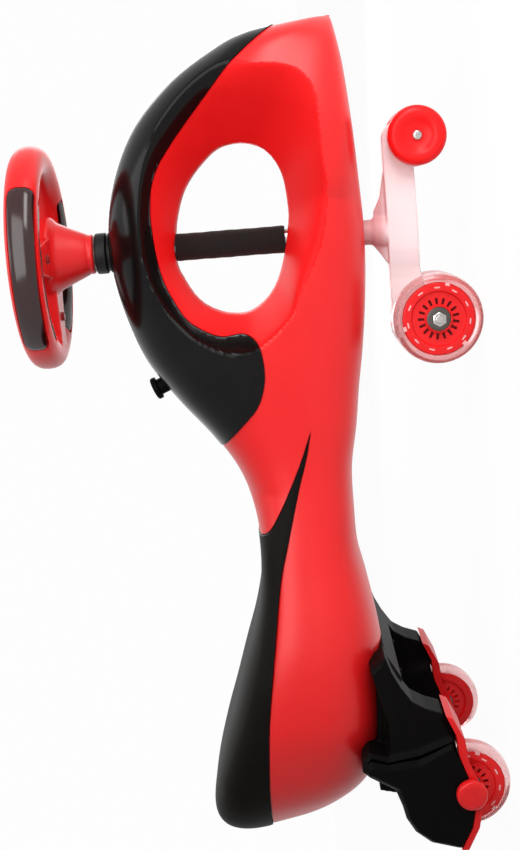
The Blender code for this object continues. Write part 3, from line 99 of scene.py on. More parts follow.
STEER_X = 0.1879
STEER_RAKE = math.radians(1.45)
SLEEVE_Z = (0.1812, 0.2850)
SLEEVE_RADIUS = 0.0128
COLLAR_BOTTOM_Z = 0.2880
COLLAR_TOP_Z = 0.3605
COLUMN_RADIUS = 0.0097
HUB_TOP_Z = 0.4255
RIM_Z = 0.4140
RIM_RADIUS = 0.090
RIM_HALF_WIDTH = 0.015
RIM_HALF_HEIGHT = 0.0152
SPOKE_TOP_Z = 0.4235
SPOKE_BOTTOM_Z = 0.3990
CONE_BOTTOM_Z = 0.3620
CONE_RADIUS = 0.0188
HUB_RADIUS = 0.0380
HORN_RADIUS = 0.0255

FRONT_AXLE = (0.1032, 0.0424)
BUMPER_AXLE = (0.2719, 0.0560)
REAR_AXLE = (-0.3167, 0.0388)
FRONT_WHEEL_RADIUS = 0.0424
REAR_WHEEL_RADIUS = 0.0388
REAR_HALF_TRACK = 0.1090
WHEEL_WIDTH = 0.0240
FRONT_WHEEL_Y = 0.0218
BUMPER_WHEEL_Y = 0.0208
BUMPER_RADIUS = 0.0275
BUMPER_WIDTH = 0.0220
ARM_TOP_Z = 0.0855
ARM_BOTTOM_Z = 0.0570


# Shader maths

class Amount:
    """One socket's value. Sums and products of these add Math nodes."""

    def __init__(self, nodes, socket):
        self.nodes = nodes
        self.socket = socket

    def math(self, operation, other, clamp=False):
        settings = {"operation": operation, "use_clamp": clamp}
        return self.nodes.node("ShaderNodeMath", settings, {0: self, 1: other})

    def __add__(self, other):
        return self.math("ADD", other)

    def __mul__(self, other):
        return self.math("MULTIPLY", other)

    __radd__ = __add__
    __rmul__ = __mul__

    def or_else(self, other):
        """1 where either of two masks is 1."""
        return self.math("ADD", other, True)

    def ramp(self, low, high):
        """0 below low, 1 above high, smooth between."""
        return self.nodes.node("ShaderNodeMapRange", {"interpolation_type": "SMOOTHSTEP"},
                               {"Value": self, "From Min": low, "From Max": high})


class Nodes:
    """A node tree in which every node comes from one method."""

    def __init__(self, tree):
        self.tree = tree

    def feed(self, socket, value):
        if isinstance(value, Amount):
            self.tree.links.new(value.socket, socket)
        elif isinstance(value, tuple) and len(value) == 3 and socket.type == "RGBA":
            socket.default_value = (*value, 1.0)
        else:
            socket.default_value = value

    def node(self, kind, settings, sockets, output=0):
        node = self.tree.nodes.new(kind)
        for key, value in settings.items():
            setattr(node, key, value)
        for key, value in sockets.items():
            self.feed(node.inputs[key], value)
        return Amount(self, node.outputs[output])


class Finish(Nodes):
    """A procedural finish for moulded and metal parts, round one Principled shader."""

    def __init__(self, name, **sockets):
        self.material = bpy.data.materials.new(name)
        self.material.use_nodes = True
        super().__init__(self.material.node_tree)
        self.shader = self.tree.nodes["Principled BSDF"]
        self.place = self.node("ShaderNodeTexCoord", {}, {}, "Object")
        for socket, value in sockets.items():
            self.put(socket.replace("_", " "), value)

    def put(self, socket, value):
        self.feed(self.shader.inputs[socket], value)

    def mix(self, factor, first, second):
        return self.node("ShaderNodeMix", {"data_type": "RGBA"}, {0: factor, 6: first, 7: second}, 2)

    def noise(self, scale, detail=3.0, roughness=0.55, place=None):
        sockets = {"Vector": place or self.place, "Scale": scale, "Detail": detail, "Roughness": roughness}
        return self.node("ShaderNodeTexNoise", {}, sockets)

    def stretched(self, scale):
        return self.node("ShaderNodeMapping", {}, {"Vector": self.place, "Scale": scale})

    def bump(self, height, strength, distance):
        sockets = {"Height": height, "Strength": strength, "Distance": distance}
        self.put("Normal", self.node("ShaderNodeBump", {}, sockets))


def moulded_skin(name, roughness, grain, depth, level):
    """The surface of a moulding without its colour: a fine grain, and hairline scuffs that dull the gloss."""
    finish = Finish(name, Specular_IOR_Level=level)
    cloud = finish.noise(9.0, 4.0)
    scuff = finish.noise(26.0, 6.0, 0.7, finish.stretched((1.0, 1.0, 14.0))).ramp(0.60, 0.72)
    peel = finish.noise(grain, 2.0)
    finish.put("Roughness", roughness + cloud * 0.05 + scuff * 0.07 + peel * 0.03)
    finish.bump(peel + finish.noise(grain * 3.1, 1.0) * 0.35, 0.5, depth)
    return finish, cloud


def moulded(name, colour, worn, roughness, grain, depth, level=0.5):
    """Moulded plastic, faintly clouded from its colour to a worn one."""
    finish, cloud = moulded_skin(name, roughness, grain, depth, level)
    finish.put("Base Color", finish.mix(cloud.ramp(0.35, 0.68), colour, worn))
    return finish


def make_arm_pink():
    """The arm's pale moulding, with a painted red reflection of the body above its beam, round the column."""
    finish, cloud = moulded_skin("pale_arm", roughness=0.34, grain=500.0, depth=0.00005, level=0.25)
    beam = finish.mix(cloud, (0.87, 0.77, 0.78), (0.85, 0.72, 0.73))
    # The shoulder colour is painted reflection: red light thrown onto the arm by the body round the column.
    shoulder = finish.mix(cloud, (0.70, 0.39, 0.40), (0.66, 0.34, 0.35))
    height = finish.node("ShaderNodeSeparateXYZ", {}, {0: finish.place}, 2)
    painted_bounce_mask = height.ramp(ARM_TOP_Z - 0.0025, ARM_TOP_Z + 0.0075)
    finish.put("Base Color", finish.mix(painted_bounce_mask, beam, shoulder))
    return finish


def make_clear():
    finish = Finish("clear_tyre", Transmission_Weight=0.82, IOR=1.28, Specular_IOR_Level=0.4)
    haze = finish.noise(30.0, 4.0)
    finish.put("Base Color", finish.mix(haze, (0.99, 0.70, 0.70), (0.97, 0.62, 0.62)))
    finish.put("Roughness", 0.07 + haze * 0.10)
    finish.bump(finish.noise(160.0, 2.0), 0.35, 0.0002)
    return finish


def make_foam():
    finish = Finish("closed_cell_foam", Specular_IOR_Level=0.15, Sheen_Weight=0.15, Sheen_Roughness=0.5)
    pores = finish.node("ShaderNodeTexVoronoi", {}, {"Vector": finish.place, "Scale": 900.0})
    grain = finish.noise(1500.0, 2.0)
    # The pores are coloured darker than the skin: painted shade in them.
    painted_pore_shade, skin = (0.004, 0.0035, 0.0035), (0.012, 0.010, 0.0095)
    finish.put("Base Color", finish.mix(pores.ramp(0.1, 0.6), painted_pore_shade, skin))
    finish.put("Roughness", 0.82 + grain * 0.15)
    finish.bump(pores * 0.7 + grain * 0.5, 0.8, 0.0005)
    return finish


def make_steel(name, colour, roughness, streaks):
    finish = Finish(name, Metallic=1.0)
    lathe_marks = finish.noise(streaks, 3.0, 0.6, finish.stretched((1.0, 9.0, 1.0)))
    spots = finish.noise(70.0, 4.0).ramp(0.55, 0.75)
    finish.put("Base Color", finish.mix(spots, colour, tuple(c * 0.8 for c in colour)))
    finish.put("Roughness", roughness + lathe_marks * 0.12 + spots * 0.08)
    finish.bump(lathe_marks, 0.3, 0.00005)
    return finish


def make_board():
    finish = Finish("circuit_board", Specular_IOR_Level=0.5)
    sockets = {"Vector": finish.place, "Scale": 160.0, "Mortar Size": 0.06}
    tracks = finish.node("ShaderNodeTexBrick", {}, sockets, 1)
    finish.put("Base Color", finish.mix(tracks, (0.012, 0.14, 0.05), (0.30, 0.26, 0.08)))
    finish.put("Roughness", 0.38 + finish.noise(200.0) * 0.1)
    finish.bump(tracks, 0.3, 0.0001)
    return finish


RED = (0.84, 0.0135, 0.0150)
RED_WORN = (0.80, 0.0115, 0.0130)
BLACK = (0.0040, 0.0034, 0.0034)
BLACK_WORN = (0.0060, 0.0052, 0.0050)

red_shell = moulded("red_moulding", RED, RED_WORN,
                    roughness=0.30, grain=520.0, depth=0.00006, level=0.36)
red_funnel = moulded("red_window_funnel", RED, RED_WORN,
                     roughness=0.42, grain=520.0, depth=0.00006, level=0.08)
red_tray = moulded("red_tray_moulding", RED, RED_WORN,
                   roughness=0.34, grain=640.0, depth=0.00006, level=0.25)
red_bumper = moulded("red_bumper_wheel", (0.88, 0.010, 0.012), (0.84, 0.009, 0.010),
                     roughness=0.32, grain=700.0, depth=0.00005, level=0.2)
red_core = moulded("red_wheel_core", (0.84, 0.012, 0.014), (0.78, 0.010, 0.012),
                   roughness=0.26, grain=500.0, depth=0.00004, level=0.3)
# A dark red of painted shade, for the ring seen down the slots of the wheel cores.
painted_slot_shade = moulded("red_slot_painted_shade", (0.16, 0.002, 0.003), (0.12, 0.002, 0.003),
                   roughness=0.50, grain=500.0, depth=0.00004, level=0.2)
mark_pale = moulded("pale_wheel_marks", (0.93, 0.52, 0.52), (0.88, 0.45, 0.45),
                    roughness=0.25, grain=600.0, depth=0.00003)
fairing_black = moulded("black_fairing", BLACK, BLACK_WORN,
                        roughness=0.14, grain=420.0, depth=0.00003, level=0.13)
seat_black = moulded("black_seat", (0.0080, 0.0070, 0.0064), (0.0110, 0.0096, 0.0088),
                     roughness=0.40, grain=1100.0, depth=0.00010, level=0.02)
trim_black = moulded("black_trim", (0.0034, 0.0030, 0.0029), (0.0048, 0.0042, 0.0040),
                     roughness=0.42, grain=900.0, depth=0.00008, level=0.03)
collar_black = moulded("black_collar", BLACK, BLACK_WORN,
                       roughness=0.42, grain=900.0, depth=0.00005, level=0.22)
screw_red = moulded("dark_screw", (0.30, 0.012, 0.012), (0.24, 0.010, 0.010),
                    roughness=0.34, grain=900.0, depth=0.00003)
grip_smoke = moulded("smoked_grip", (0.020, 0.0030, 0.0035), (0.028, 0.0042, 0.0048),
                     roughness=0.13, grain=300.0, depth=0.00002)
arm_pink = make_arm_pink()
clear_tyre = make_clear()
foam = make_foam()
steel = make_steel("bright_steel", (0.50, 0.48, 0.46), roughness=0.22, streaks=300.0)
bearing_steel = make_steel("bearing_steel", (0.13, 0.11, 0.10), roughness=0.30, streaks=500.0)
cell_skin = moulded("cell_skin", (0.09, 0.09, 0.10), (0.12, 0.11, 0.10),
                    roughness=0.35, grain=700.0, depth=0.00004)
board = make_board()


# Mesh tools

def polyline(points, steps):
    """A smooth line through all the points."""
    points = np.array(points, dtype=float)
    padded = np.vstack((2 * points[0] - points[1], points, 2 * points[-1] - points[-2]))
    line = []
    for k in range(1, len(padded) - 2):
        before, here, there, after = padded[k - 1:k + 3]
        for step in range(steps):
            t = step / steps
            line.append(0.5 * (2 * here + (there - before) * t
                               + (2 * before - 5 * here + 4 * there - after) * t ** 2
                               + (3 * here - before - 3 * there + after) * t ** 3))
    line.append(points[-1])
    return np.array(line)


def along(start, end, shares):
    """Points by their share of the way from one corner to the other, across and up."""
    return [(start[0] + (end[0] - start[0]) * across, start[1] + (end[1] - start[1]) * up)
            for across, up in shares]


def softened(points, radius, steps=4, closed=False):
    """The outline with its corners rounded off over the given distance."""
    count = len(points)
    line = []
    for k in range(count):
        here = Vector(points[k])
        if not closed and k in (0, count - 1):
            line.append(tuple(here))
            continue
        before = Vector(points[k - 1])
        after = Vector(points[(k + 1) % count])
        enter = here + (before - here).normalized() * min(radius, 0.48 * (before - here).length)
        leave = here + (after - here).normalized() * min(radius, 0.48 * (after - here).length)
        for step in range(steps + 1):
            t = step / steps
            line.append(tuple(enter * (1 - t) ** 2 + here * 2 * t * (1 - t) + leave * t ** 2))
    return line


def inset_outline(points, inset):
    """The closed outline moved inwards by the inset."""
    area = sum(a[0] * b[1] - b[0] * a[1] for a, b in zip(points, points[1:] + points[:1]))
    turn = 1.0 if area > 0.0 else -1.0
    drawn = []
    for before, here, after in zip(points[-1:] + points[:-1], points, points[1:] + points[:1]):
        arrive = (Vector(here) - Vector(before)).normalized()
        leave = (Vector(after) - Vector(here)).normalized()
        normal_in = Vector((-arrive.y, arrive.x)) * turn
        normal_out = Vector((-leave.y, leave.x)) * turn
        middle = (normal_in + normal_out).normalized()
        reach = inset / max(middle.dot(normal_in), 0.5)
        drawn.append((here[0] + middle.x * reach, here[1] + middle.y * reach))
    return drawn


def stack(rings):
    """A closed solid through rings of points."""
    bm = bmesh.new()
    rows = [[bm.verts.new(point) for point in ring] for ring in rings]
    for near, far in zip(rows, rows[1:]):
        for k in range(len(near)):
            m = (k + 1) % len(near)
            bm.faces.new((near[k], near[m], far[m], far[k]))
    bm.faces.new(list(reversed(rows[0])))
    bm.faces.new(rows[-1])
    return bm


def lathe(profile, segments=64, closed=False):
    """A profile of (radius, height) turned round Z; radius 0 closes at a pole."""
    bm = bmesh.new()
    columns = []
    for radius, height in profile:
        if radius < 1e-6:
            columns.append([bm.verts.new((0.0, 0.0, height))] * segments)
            continue
        columns.append([bm.verts.new((radius * math.cos(2 * math.pi * k / segments),
                                      radius * math.sin(2 * math.pi * k / segments), height))
                        for k in range(segments)])
    pairs = list(zip(columns, columns[1:]))
    if closed:
        pairs.append((columns[-1], columns[0]))
    for here, there in pairs:
        for k in range(segments):
            m = (k + 1) % segments
            corners = []
            for vertex in (here[k], here[m], there[m], there[k]):
                if vertex not in corners:
                    corners.append(vertex)
            if len(corners) > 2:
                bm.faces.new(corners)
    return bm


def rod(radius, low, high, segments=48):
    """A plain round bar along Z, as a tool that cuts a hole."""
    return lathe([(0.0, low), (radius, low), (radius, high), (0.0, high)], segments)


def slab(outline, low, high, edge=0.0):
    """A side view outline of (x, z) points run along Y, with its two rims rounded over."""
    turns = [math.pi / 2 * k / 3 for k in range(4)]
    rims = [(edge * (1 - math.cos(a)), edge * (1 - math.sin(a))) for a in turns] if edge else [(0.0, 0.0)]
    rings = [(low + inward, inset) for inward, inset in rims]
    rings += [(high - inward, inset) for inward, inset in reversed(rims)]
    return stack([[(x, y, z) for x, z in (inset_outline(outline, inset) if inset else outline)]
                  for y, inset in rings])


def tiers(*levels):
    """Side view outlines with as many points each, joined from one height along Y to the next."""
    return stack([[(x, y, z) for x, z in outline] for y, outline in levels])


def plate(outline, low, high):
    """A plan outline of (x, y) points run along Z."""
    return stack([[(x, y, z) for x, y in outline] for z in (low, high)])


def rectangle(half_length, half_width):
    """Corners of a rectangle round the middle."""
    return [(-half_length, -half_width), (half_length, -half_width), (half_length, half_width),
            (-half_length, half_width)]


def moved(bm, matrix):
    bmesh.ops.transform(bm, matrix=matrix, verts=bm.verts)
    return bm


def joined(*parts):
    """Several bmeshes as one."""
    whole = parts[0]
    for part in parts[1:]:
        mesh = bpy.data.meshes.new("joined")
        part.to_mesh(mesh)
        part.free()
        whole.from_mesh(mesh)
        bpy.data.meshes.remove(mesh)
    return whole


def solid(name, bm):
    """A bmesh as an object, with its faces turned out."""
    bmesh.ops.recalc_face_normals(bm, faces=bm.faces)
    mesh = bpy.data.meshes.new(name)
    bm.to_mesh(mesh)
    bm.free()
    thing = bpy.data.objects.new(name, mesh)
    bpy.context.scene.collection.objects.link(thing)
    return thing


def mesh_of(thing):
    """An object's bmesh. The object is used up."""
    bm = bmesh.new()
    bm.from_mesh(thing.data)
    bpy.data.objects.remove(thing)
    return bm


def settle(thing):
    """Applies an object's modifiers to its mesh."""
    bpy.context.view_layer.update()
    depsgraph = bpy.context.evaluated_depsgraph_get()
    mesh = bpy.data.meshes.new_from_object(thing.evaluated_get(depsgraph))
    old = thing.data
    thing.modifiers.clear()
    thing.data = mesh
    mesh.name = thing.name
    bpy.data.meshes.remove(old)
    return thing


def carve(thing, operation, *tools):
    """Cuts, joins or meets an object with others, which are used up."""
    for tool in tools:
        modifier = thing.modifiers.new("carve", "BOOLEAN")
        modifier.operation = operation
        modifier.solver = "MANIFOLD"
        modifier.object = tool
        settle(thing)
        bpy.data.objects.remove(tool)
    return thing


def cast(name, parts, voxel, rounds):
    """One moulded form from overlapping closed solids: fused on a fine grid, then smoothed."""
    thing = solid(name, joined(*parts))
    fuse = thing.modifiers.new("fuse", "REMESH")
    fuse.mode = "VOXEL"
    fuse.voxel_size = voxel
    settle(thing)
    soften = thing.modifiers.new("soften", "SMOOTH")
    soften.factor = 0.5
    soften.iterations = rounds
    return settle(thing)


def finished(thing, finish, node, sharp=38.0, stands_in=True):
    """Gives an object its finish and shading. It rides with a CAD node, and may stand in for it."""
    mesh = thing.data
    mesh.materials.clear()
    mesh.materials.append(finish.material)
    mesh.shade_smooth()
    mesh.set_sharp_from_angle(angle=math.radians(sharp))
    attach(thing, frame["nodes"][node]["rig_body"])
    if stands_in:
        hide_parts(node)
    return thing


def dress(finish, *nodes):
    """Gives CAD nodes a finish."""
    for node in nodes:
        mesh = frame["nodes"][node].data
        mesh.materials.clear()
        mesh.materials.append(finish.material)


STEER = Matrix.Translation((STEER_X, 0.0, 0.0)) @ Matrix.Rotation(-STEER_RAKE, 4, "Y")


def in_steering_frame(x, z):
    point = STEER.inverted() @ Vector((x, 0.0, z))
    return point.x, point.z


def cross(bm, centre, y, side=1.0):
    """Turns a piece made round Z to lie along Y, its top to the side given, at a place."""
    turn = Matrix.Rotation(-side * math.pi / 2, 4, "X")
    return moved(bm, Matrix.Translation((centre[0], y, centre[1])) @ turn)


# Body

TOP_LINE = (
    along(NOSE, ARCH, ((0.0, 0.032), (0.016, 0.125), (0.067, 0.380), (0.145, 0.532), (0.279, 0.708),
                       (0.463, 0.856), (0.680, 0.949), (0.912, 0.995)))
    + along(ARCH, (WAIST_X, WAIST_TOP_Z), ((0.118, 0.018), (0.323, 0.109), (0.509, 0.264), (0.686, 0.518),
                                           (0.845, 0.791), (1.0, 1.0)))
    + along((WAIST_X, WAIST_TOP_Z), (SEAT_X, SEAT_FRONT_Z), ((0.36, 0.72), (0.72, 1.0)))
    + along((SEAT_X, SEAT_FRONT_Z), (TAIL_X, SEAT_BACK_Z), ((0.044, 0.018), (0.202, 0.158), (0.356, 0.368),
                                                            (0.515, 0.579), (0.651, 0.772), (0.798, 0.947),
                                                            (0.897, 1.0)))
    + along((SEAT_X, SEAT_BACK_Z), (TAIL_X, TAIL_Z), ((0.960, 0.167), (0.992, 0.556), (1.0, 1.0),
                                                      (0.998, 1.417))))
BOTTOM_LINE = (
    along(NOSE, (ARCH[0], BELLY_Z), ((0.0, 0.0), (0.047, 0.083), (0.207, 0.333), (0.320, 0.458),
                                     (0.455, 0.583), (0.597, 0.708), (0.752, 0.833), (0.917, 0.958)))
    + along((ARCH[0], BELLY_Z), (WAIST_X, WAIST_BOTTOM_Z), ((0.105, 0.0), (0.309, 0.095), (0.505, 0.286),
                                                            (0.673, 0.524), (0.836, 0.714), (1.014, 1.0)))
    + along((WAIST_X, WAIST_BOTTOM_Z), (SEAT_X, SEAT_BOTTOM_Z), ((0.41, 0.0), (0.78, 0.083)))
    + along((SEAT_X, WAIST_BOTTOM_Z), (TAIL_X, SEAT_BOTTOM_Z), ((0.055, 0.417), (0.214, 0.750),
                                                                (0.356, 0.958), (0.491, 1.0)))
    + along((SEAT_X, SEAT_BOTTOM_Z), (TAIL_X, TAIL_Z), ((0.596, 0.015), (0.707, 0.059), (0.786, 0.132),
                                                        (0.842, 0.221), (0.897, 0.353), (0.948, 0.529),
                                                        (0.980, 0.691))))
PLAN_LINE = (
    along((TAIL_X, 0.0), (SEAT_X, SEAT_HALF_WIDTH), ((0.0, 0.12), (0.030, 0.36), (0.080, 0.56), (0.170, 0.76),
                                                     (0.300, 0.90), (0.500, 1.0), (0.762, 0.94)))
    + along((SEAT_X, SEAT_HALF_WIDTH), (WAIST_X, WAIST_HALF_WIDTH), ((0.20, 0.68), (1.0, 1.0)))
    + along((WAIST_X, WAIST_HALF_WIDTH), (ARCH[0], NOSE_HALF_WIDTH), ((0.50, 0.227), (1.0, 0.818)))
    + along((ARCH[0], 0.0), (NOSE[0], NOSE_HALF_WIDTH), ((0.500, 1.0), (0.660, 0.98), (0.800, 0.89),
                                                         (0.900, 0.74), (0.955, 0.55), (0.985, 0.35),
                                                         (1.0, 0.14))))

# The crease round the funnel and the edge of the window's wall, as (x, z) in the side view
CREASE = [(0.344, 0.222), (0.340, 0.204), (0.338, 0.182), (0.334, 0.166), (0.323, 0.154), (0.308, 0.148),
          (0.286, 0.146), (0.259, 0.145), (0.227, 0.142), (0.184, 0.148), (0.160, 0.158), (0.136, 0.170),
          (0.118, 0.177), (0.102, 0.192), (0.092, 0.205), (0.084, 0.219), (0.086, 0.242), (0.097, 0.264),
          (0.109, 0.277), (0.131, 0.296), (0.154, 0.306), (0.177, 0.312), (0.200, 0.313), (0.236, 0.310),
          (0.266, 0.302), (0.292, 0.290), (0.317, 0.269), (0.338, 0.244)]
WINDOW_EDGE = [(0.275, 0.218), (0.270, 0.201), (0.259, 0.189), (0.242, 0.181), (0.221, 0.178), (0.206, 0.177),
               (0.190, 0.179), (0.169, 0.183), (0.146, 0.190), (0.129, 0.201), (0.117, 0.218), (0.116, 0.235),
               (0.121, 0.252), (0.132, 0.267), (0.150, 0.278), (0.167, 0.285), (0.194, 0.284), (0.219, 0.279),
               (0.238, 0.271), (0.257, 0.256), (0.271, 0.239)]


EVEN_OUT = 5  # neighbours averaged along a loop


def loop_reach(loop, angles):
    """Distance from the window's centre to a closed loop, at each angle."""
    fine = polyline(loop + loop[:1], 8)[:-1]
    dx = fine[:, 0] - WINDOW[0]
    dz = fine[:, 1] - WINDOW[1]
    turn = np.arctan2(dz, dx)
    order = np.argsort(turn)
    turn = turn[order]
    reach = np.hypot(dx, dz)[order]
    turn = np.concatenate((turn - 2 * np.pi, turn, turn + 2 * np.pi))
    reach = np.pad(np.tile(reach, 3), EVEN_OUT // 2, mode="edge")
    return np.interp(angles, turn, np.convolve(reach, np.ones(EVEN_OUT) / EVEN_OUT, "valid"))


def quarter(reach, width, squareness, steps):
    """Even points of a quarter of a superellipse: (across, up) shares from the side to the top."""
    a = np.linspace(0.0, np.pi / 2, 361)
    across = np.cos(a) ** (2.0 / squareness)
    up = np.sin(a) ** (2.0 / squareness)
    run = np.concatenate(([0.0], np.cumsum(np.hypot(np.diff(across * width), np.diff(up * reach)))))
    even = np.linspace(0.0, run[-1], steps + 1)
    return np.interp(even, run, across), np.interp(even, run, up)


RING_QUARTER = 72
STATION_STEPS = 14
CREASE_RADIUS = 0.0016
SOFT_CREASE = (math.radians(250.0), math.radians(38.0), 0.012)  # where, how far to each side, how soft
WALL_CLOSES = 0.60  # share of the way to the window's edge where the two sides of its wall meet
SEAT_SQUARES = (-0.050, 1.7)  # from this station back the upper section is squarer by this
NOSE_SQUARES = (0.220, 2.5)
SQUARE_RUN = 0.08
END_BULGE = 0.45
END_TURNS = (30.0, 60.0, 85.0)


def crease_softness(turn):
    """How rounded the crease is: crisp all round but for one stretch under the window."""
    at, spread, soft = SOFT_CREASE
    apart = np.abs((turn - at + np.pi) % (2 * np.pi) - np.pi)
    return CREASE_RADIUS + soft * np.clip(1.0 - apart / spread, 0.0, 1.0)


def window_skin(x, y, z, offset):
    """Draws body points into the window's funnel and wall. Gives new x, y, z and which points close it."""
    dx = x - WINDOW[0]
    dz = z - WINDOW[1]
    turn = np.arctan2(dz, dx)
    rho = np.hypot(dx, dz)
    crease = loop_reach(CREASE, turn)
    edge = loop_reach(WINDOW_EDGE, turn) - offset
    share = np.clip((crease - rho) / (crease - WALL_CLOSES * edge), 0.0, 1.0)
    side = np.sign(y)
    full = np.abs(y)
    length = crease - edge
    drop = np.maximum(full - THROAT, 0.001)
    steep_run = np.hypot(length, drop)
    run = share * (steep_run + THROAT)
    on_funnel = np.clip(run / steep_run, 0.0, 1.0)
    on_wall = np.clip((run - steep_run) / THROAT, 0.0, 1.0)
    bend = crease_softness(turn) / length
    eased = (np.sqrt(on_funnel ** 2 + bend ** 2) - bend) / (np.sqrt(1.0 + bend ** 2) - bend)
    inside = rho < crease
    new_rho = np.where(inside, crease - length * on_funnel, rho)
    new_y = np.where(inside, full - drop * eased, full)
    new_y = np.where(inside & (run > steep_run), THROAT * (1.0 - on_wall), new_y)
    closed = inside & (share >= 1.0)
    new_y = np.where(closed, 0.0, new_y)
    return WINDOW[0] + new_rho * np.cos(turn), side * new_y, WINDOW[1] + new_rho * np.sin(turn), closed


def grown(line, outward, offset):
    """A top or bottom line moved outwards."""
    run = np.gradient(line, axis=0)
    out = outward * np.column_stack((run[:, 1], -run[:, 0]))
    return line + offset * out / np.linalg.norm(out, axis=1)[:, None]


def past(station, x, sense):
    """0 before a station, 1 well past it."""
    return min(max(sense * (x - station) / SQUARE_RUN, 0.0), 1.0)


def rounded_end(rim, inward):
    """Rings that close the body beyond its first or last one."""
    heart = rim.mean(axis=0)
    out = heart - inward.mean(axis=0)
    out /= np.linalg.norm(out)
    thin = float(np.hypot(*(rim[RING_QUARTER] - heart)[[0, 2]]))
    reach = np.linalg.norm(rim - heart, axis=1)
    caps = []
    for turn in np.radians(END_TURNS):
        shrink = 1.0 - thin * (1 - math.cos(turn)) / reach
        caps.append(heart + (rim - heart) * shrink[:, None] + out * END_BULGE * thin * math.sin(turn))
    return np.array(caps)


def body_rings(offset):
    """The body's surface as rings of points, grown by the offset. No window yet."""
    top = polyline(TOP_LINE, STATION_STEPS)
    bottom = polyline(BOTTOM_LINE, STATION_STEPS)
    middle = (top[:, 0] + bottom[:, 0]) / 2
    plan = polyline(PLAN_LINE, 8)
    width = np.interp(middle, plan[:, 0], plan[:, 1]) + offset
    top = grown(top, 1.0, offset)
    bottom = grown(bottom, -1.0, offset)
    rings = []
    for here, there, half in zip(top, bottom, width):
        centre = (here + there) / 2
        reach = (here - there) / 2
        size = float(np.hypot(*reach))
        upper = UPPER_SQUARENESS + SEAT_SQUARES[1] * past(SEAT_SQUARES[0], centre[0], -1.0)
        lower = LOWER_SQUARENESS + NOSE_SQUARES[1] * past(NOSE_SQUARES[0], centre[0], 1.0)
        across_up, up = quarter(size, half, upper, RING_QUARTER)
        across_down, down = quarter(size, half, lower, RING_QUARTER)
        across = np.concatenate((across_up, -across_up[-2::-1], -across_down[1:], across_down[-2:0:-1]))
        height = np.concatenate((up, up[-2::-1], -down[1:], -down[-2:0:-1]))
        rings.append(np.column_stack((centre[0] + reach[0] * height, across * half,
                                      centre[1] + reach[1] * height)))
    nose = rounded_end(rings[0], rings[1])
    tail = rounded_end(rings[-1], rings[-2])
    return np.concatenate((nose[::-1], rings, tail))


SHAPE_FADES = 0.05  # nearer the middle than this, a cover's relief fades out
SEAM_WELD = 0.00004


def body_solid(name, offset, shape=None):
    """The body's closed surface with its window, grown by the offset, and outwards by shape(x, z)."""
    rings = body_rings(offset)
    x, y, z = rings[..., 0], rings[..., 1], rings[..., 2]
    x, y, z, closed = window_skin(x, y, z, offset)
    if shape:
        y = y + np.sign(y) * shape(x, z) * np.clip(np.abs(y) / SHAPE_FADES, 0.0, 1.0)
    bm = bmesh.new()
    rows = [[bm.verts.new(point) for point in zip(*row)] for row in zip(x, y, z)]
    count = x.shape[1]
    for i in range(x.shape[0] - 1):
        for k in range(count):
            m = (k + 1) % count
            if closed[i, k] and closed[i, m] and closed[i + 1, m] and closed[i + 1, k]:
                continue
            bm.faces.new((rows[i][k], rows[i][m], rows[i + 1][m], rows[i + 1][k]))
    bm.faces.new(list(reversed(rows[0])))
    bm.faces.new(rows[-1])
    loose = [v for v in bm.verts if not v.link_faces]
    bmesh.ops.delete(bm, geom=loose, context="VERTS")
    seam = [v for v in bm.verts if any(e.is_boundary for e in v.link_edges)]
    bmesh.ops.remove_doubles(bm, verts=seam, dist=SEAM_WELD)
    return solid(name, bm)


# Borders of the covers in the side view, from front to rear
FAIRING_EDGE = [(0.420, 0.150), (0.395, 0.166), (0.375, 0.184), (0.356, 0.2055), (0.338, 0.225),
                (0.3215, 0.240), (0.305, 0.2545), (0.2885, 0.2685), (0.272, 0.2815), (0.255, 0.2925),
                (0.238, 0.299), (0.221, 0.3015), (0.205, 0.302), (0.178, 0.300), (0.154, 0.295),
                (0.134, 0.286), (0.116, 0.274), (0.105, 0.259), (0.099, 0.243), (0.100, 0.224),
                (0.094, 0.212), (0.084, 0.208), (0.066, 0.206), (0.050, 0.208), (0.033, 0.215),
                (0.015, 0.231), (-0.002, 0.247), (-0.020, 0.266)]
SEAT_EDGE_LOWER = [(0.009, 0.167), (-0.015, 0.172), (-0.039, 0.179), (-0.070, 0.187), (-0.097, 0.194),
                   (-0.125, 0.201), (-0.174, 0.208), (-0.219, 0.214), (-0.254, 0.218), (-0.289, 0.220),
                   (-0.318, 0.221), (-0.344, 0.221), (-0.440, 0.221)]
SEAT_EDGE_UPPER = [(-0.106, 0.236), (-0.093, 0.223), (-0.083, 0.210), (-0.067, 0.200), (-0.045, 0.189),
                   (-0.018, 0.177), (0.009, 0.167)]
SEAT_CREASE = [(-0.064, 0.2045), (-0.138, 0.219), (-0.190, 0.223), (-0.217, 0.229), (-0.246, 0.238),
               (-0.280, 0.251), (-0.318, 0.264)]


ABOVE_FAIRING = (0.47, 0.45)
ABOVE_SEAT_Z = 0.34
RIDGE_RISE = 0.0040
RIDGE_ABOVE = 0.026
RIDGE_BELOW = 0.022
RIDGE_FRONT, RIDGE_FADES_IN = -0.050, 0.06
RIDGE_REAR, RIDGE_FADES_OUT = -0.352, 0.03
SEAT_RISE = 0.0012
SEAT_BEVEL = 0.0035
SEAT_FRONT_BEVEL = 0.0060


def fairing_border(grow):
    """The fairing's outline in the side view, grown; it runs on past the body at the front and above."""
    edge = [tuple(p) for p in polyline(FAIRING_EDGE, 6)]
    front, top = ABOVE_FAIRING
    above = [(FAIRING_EDGE[-1][0], top), (front, top), (front, FAIRING_EDGE[0][1])]
    return inset_outline(edge + above, -grow)


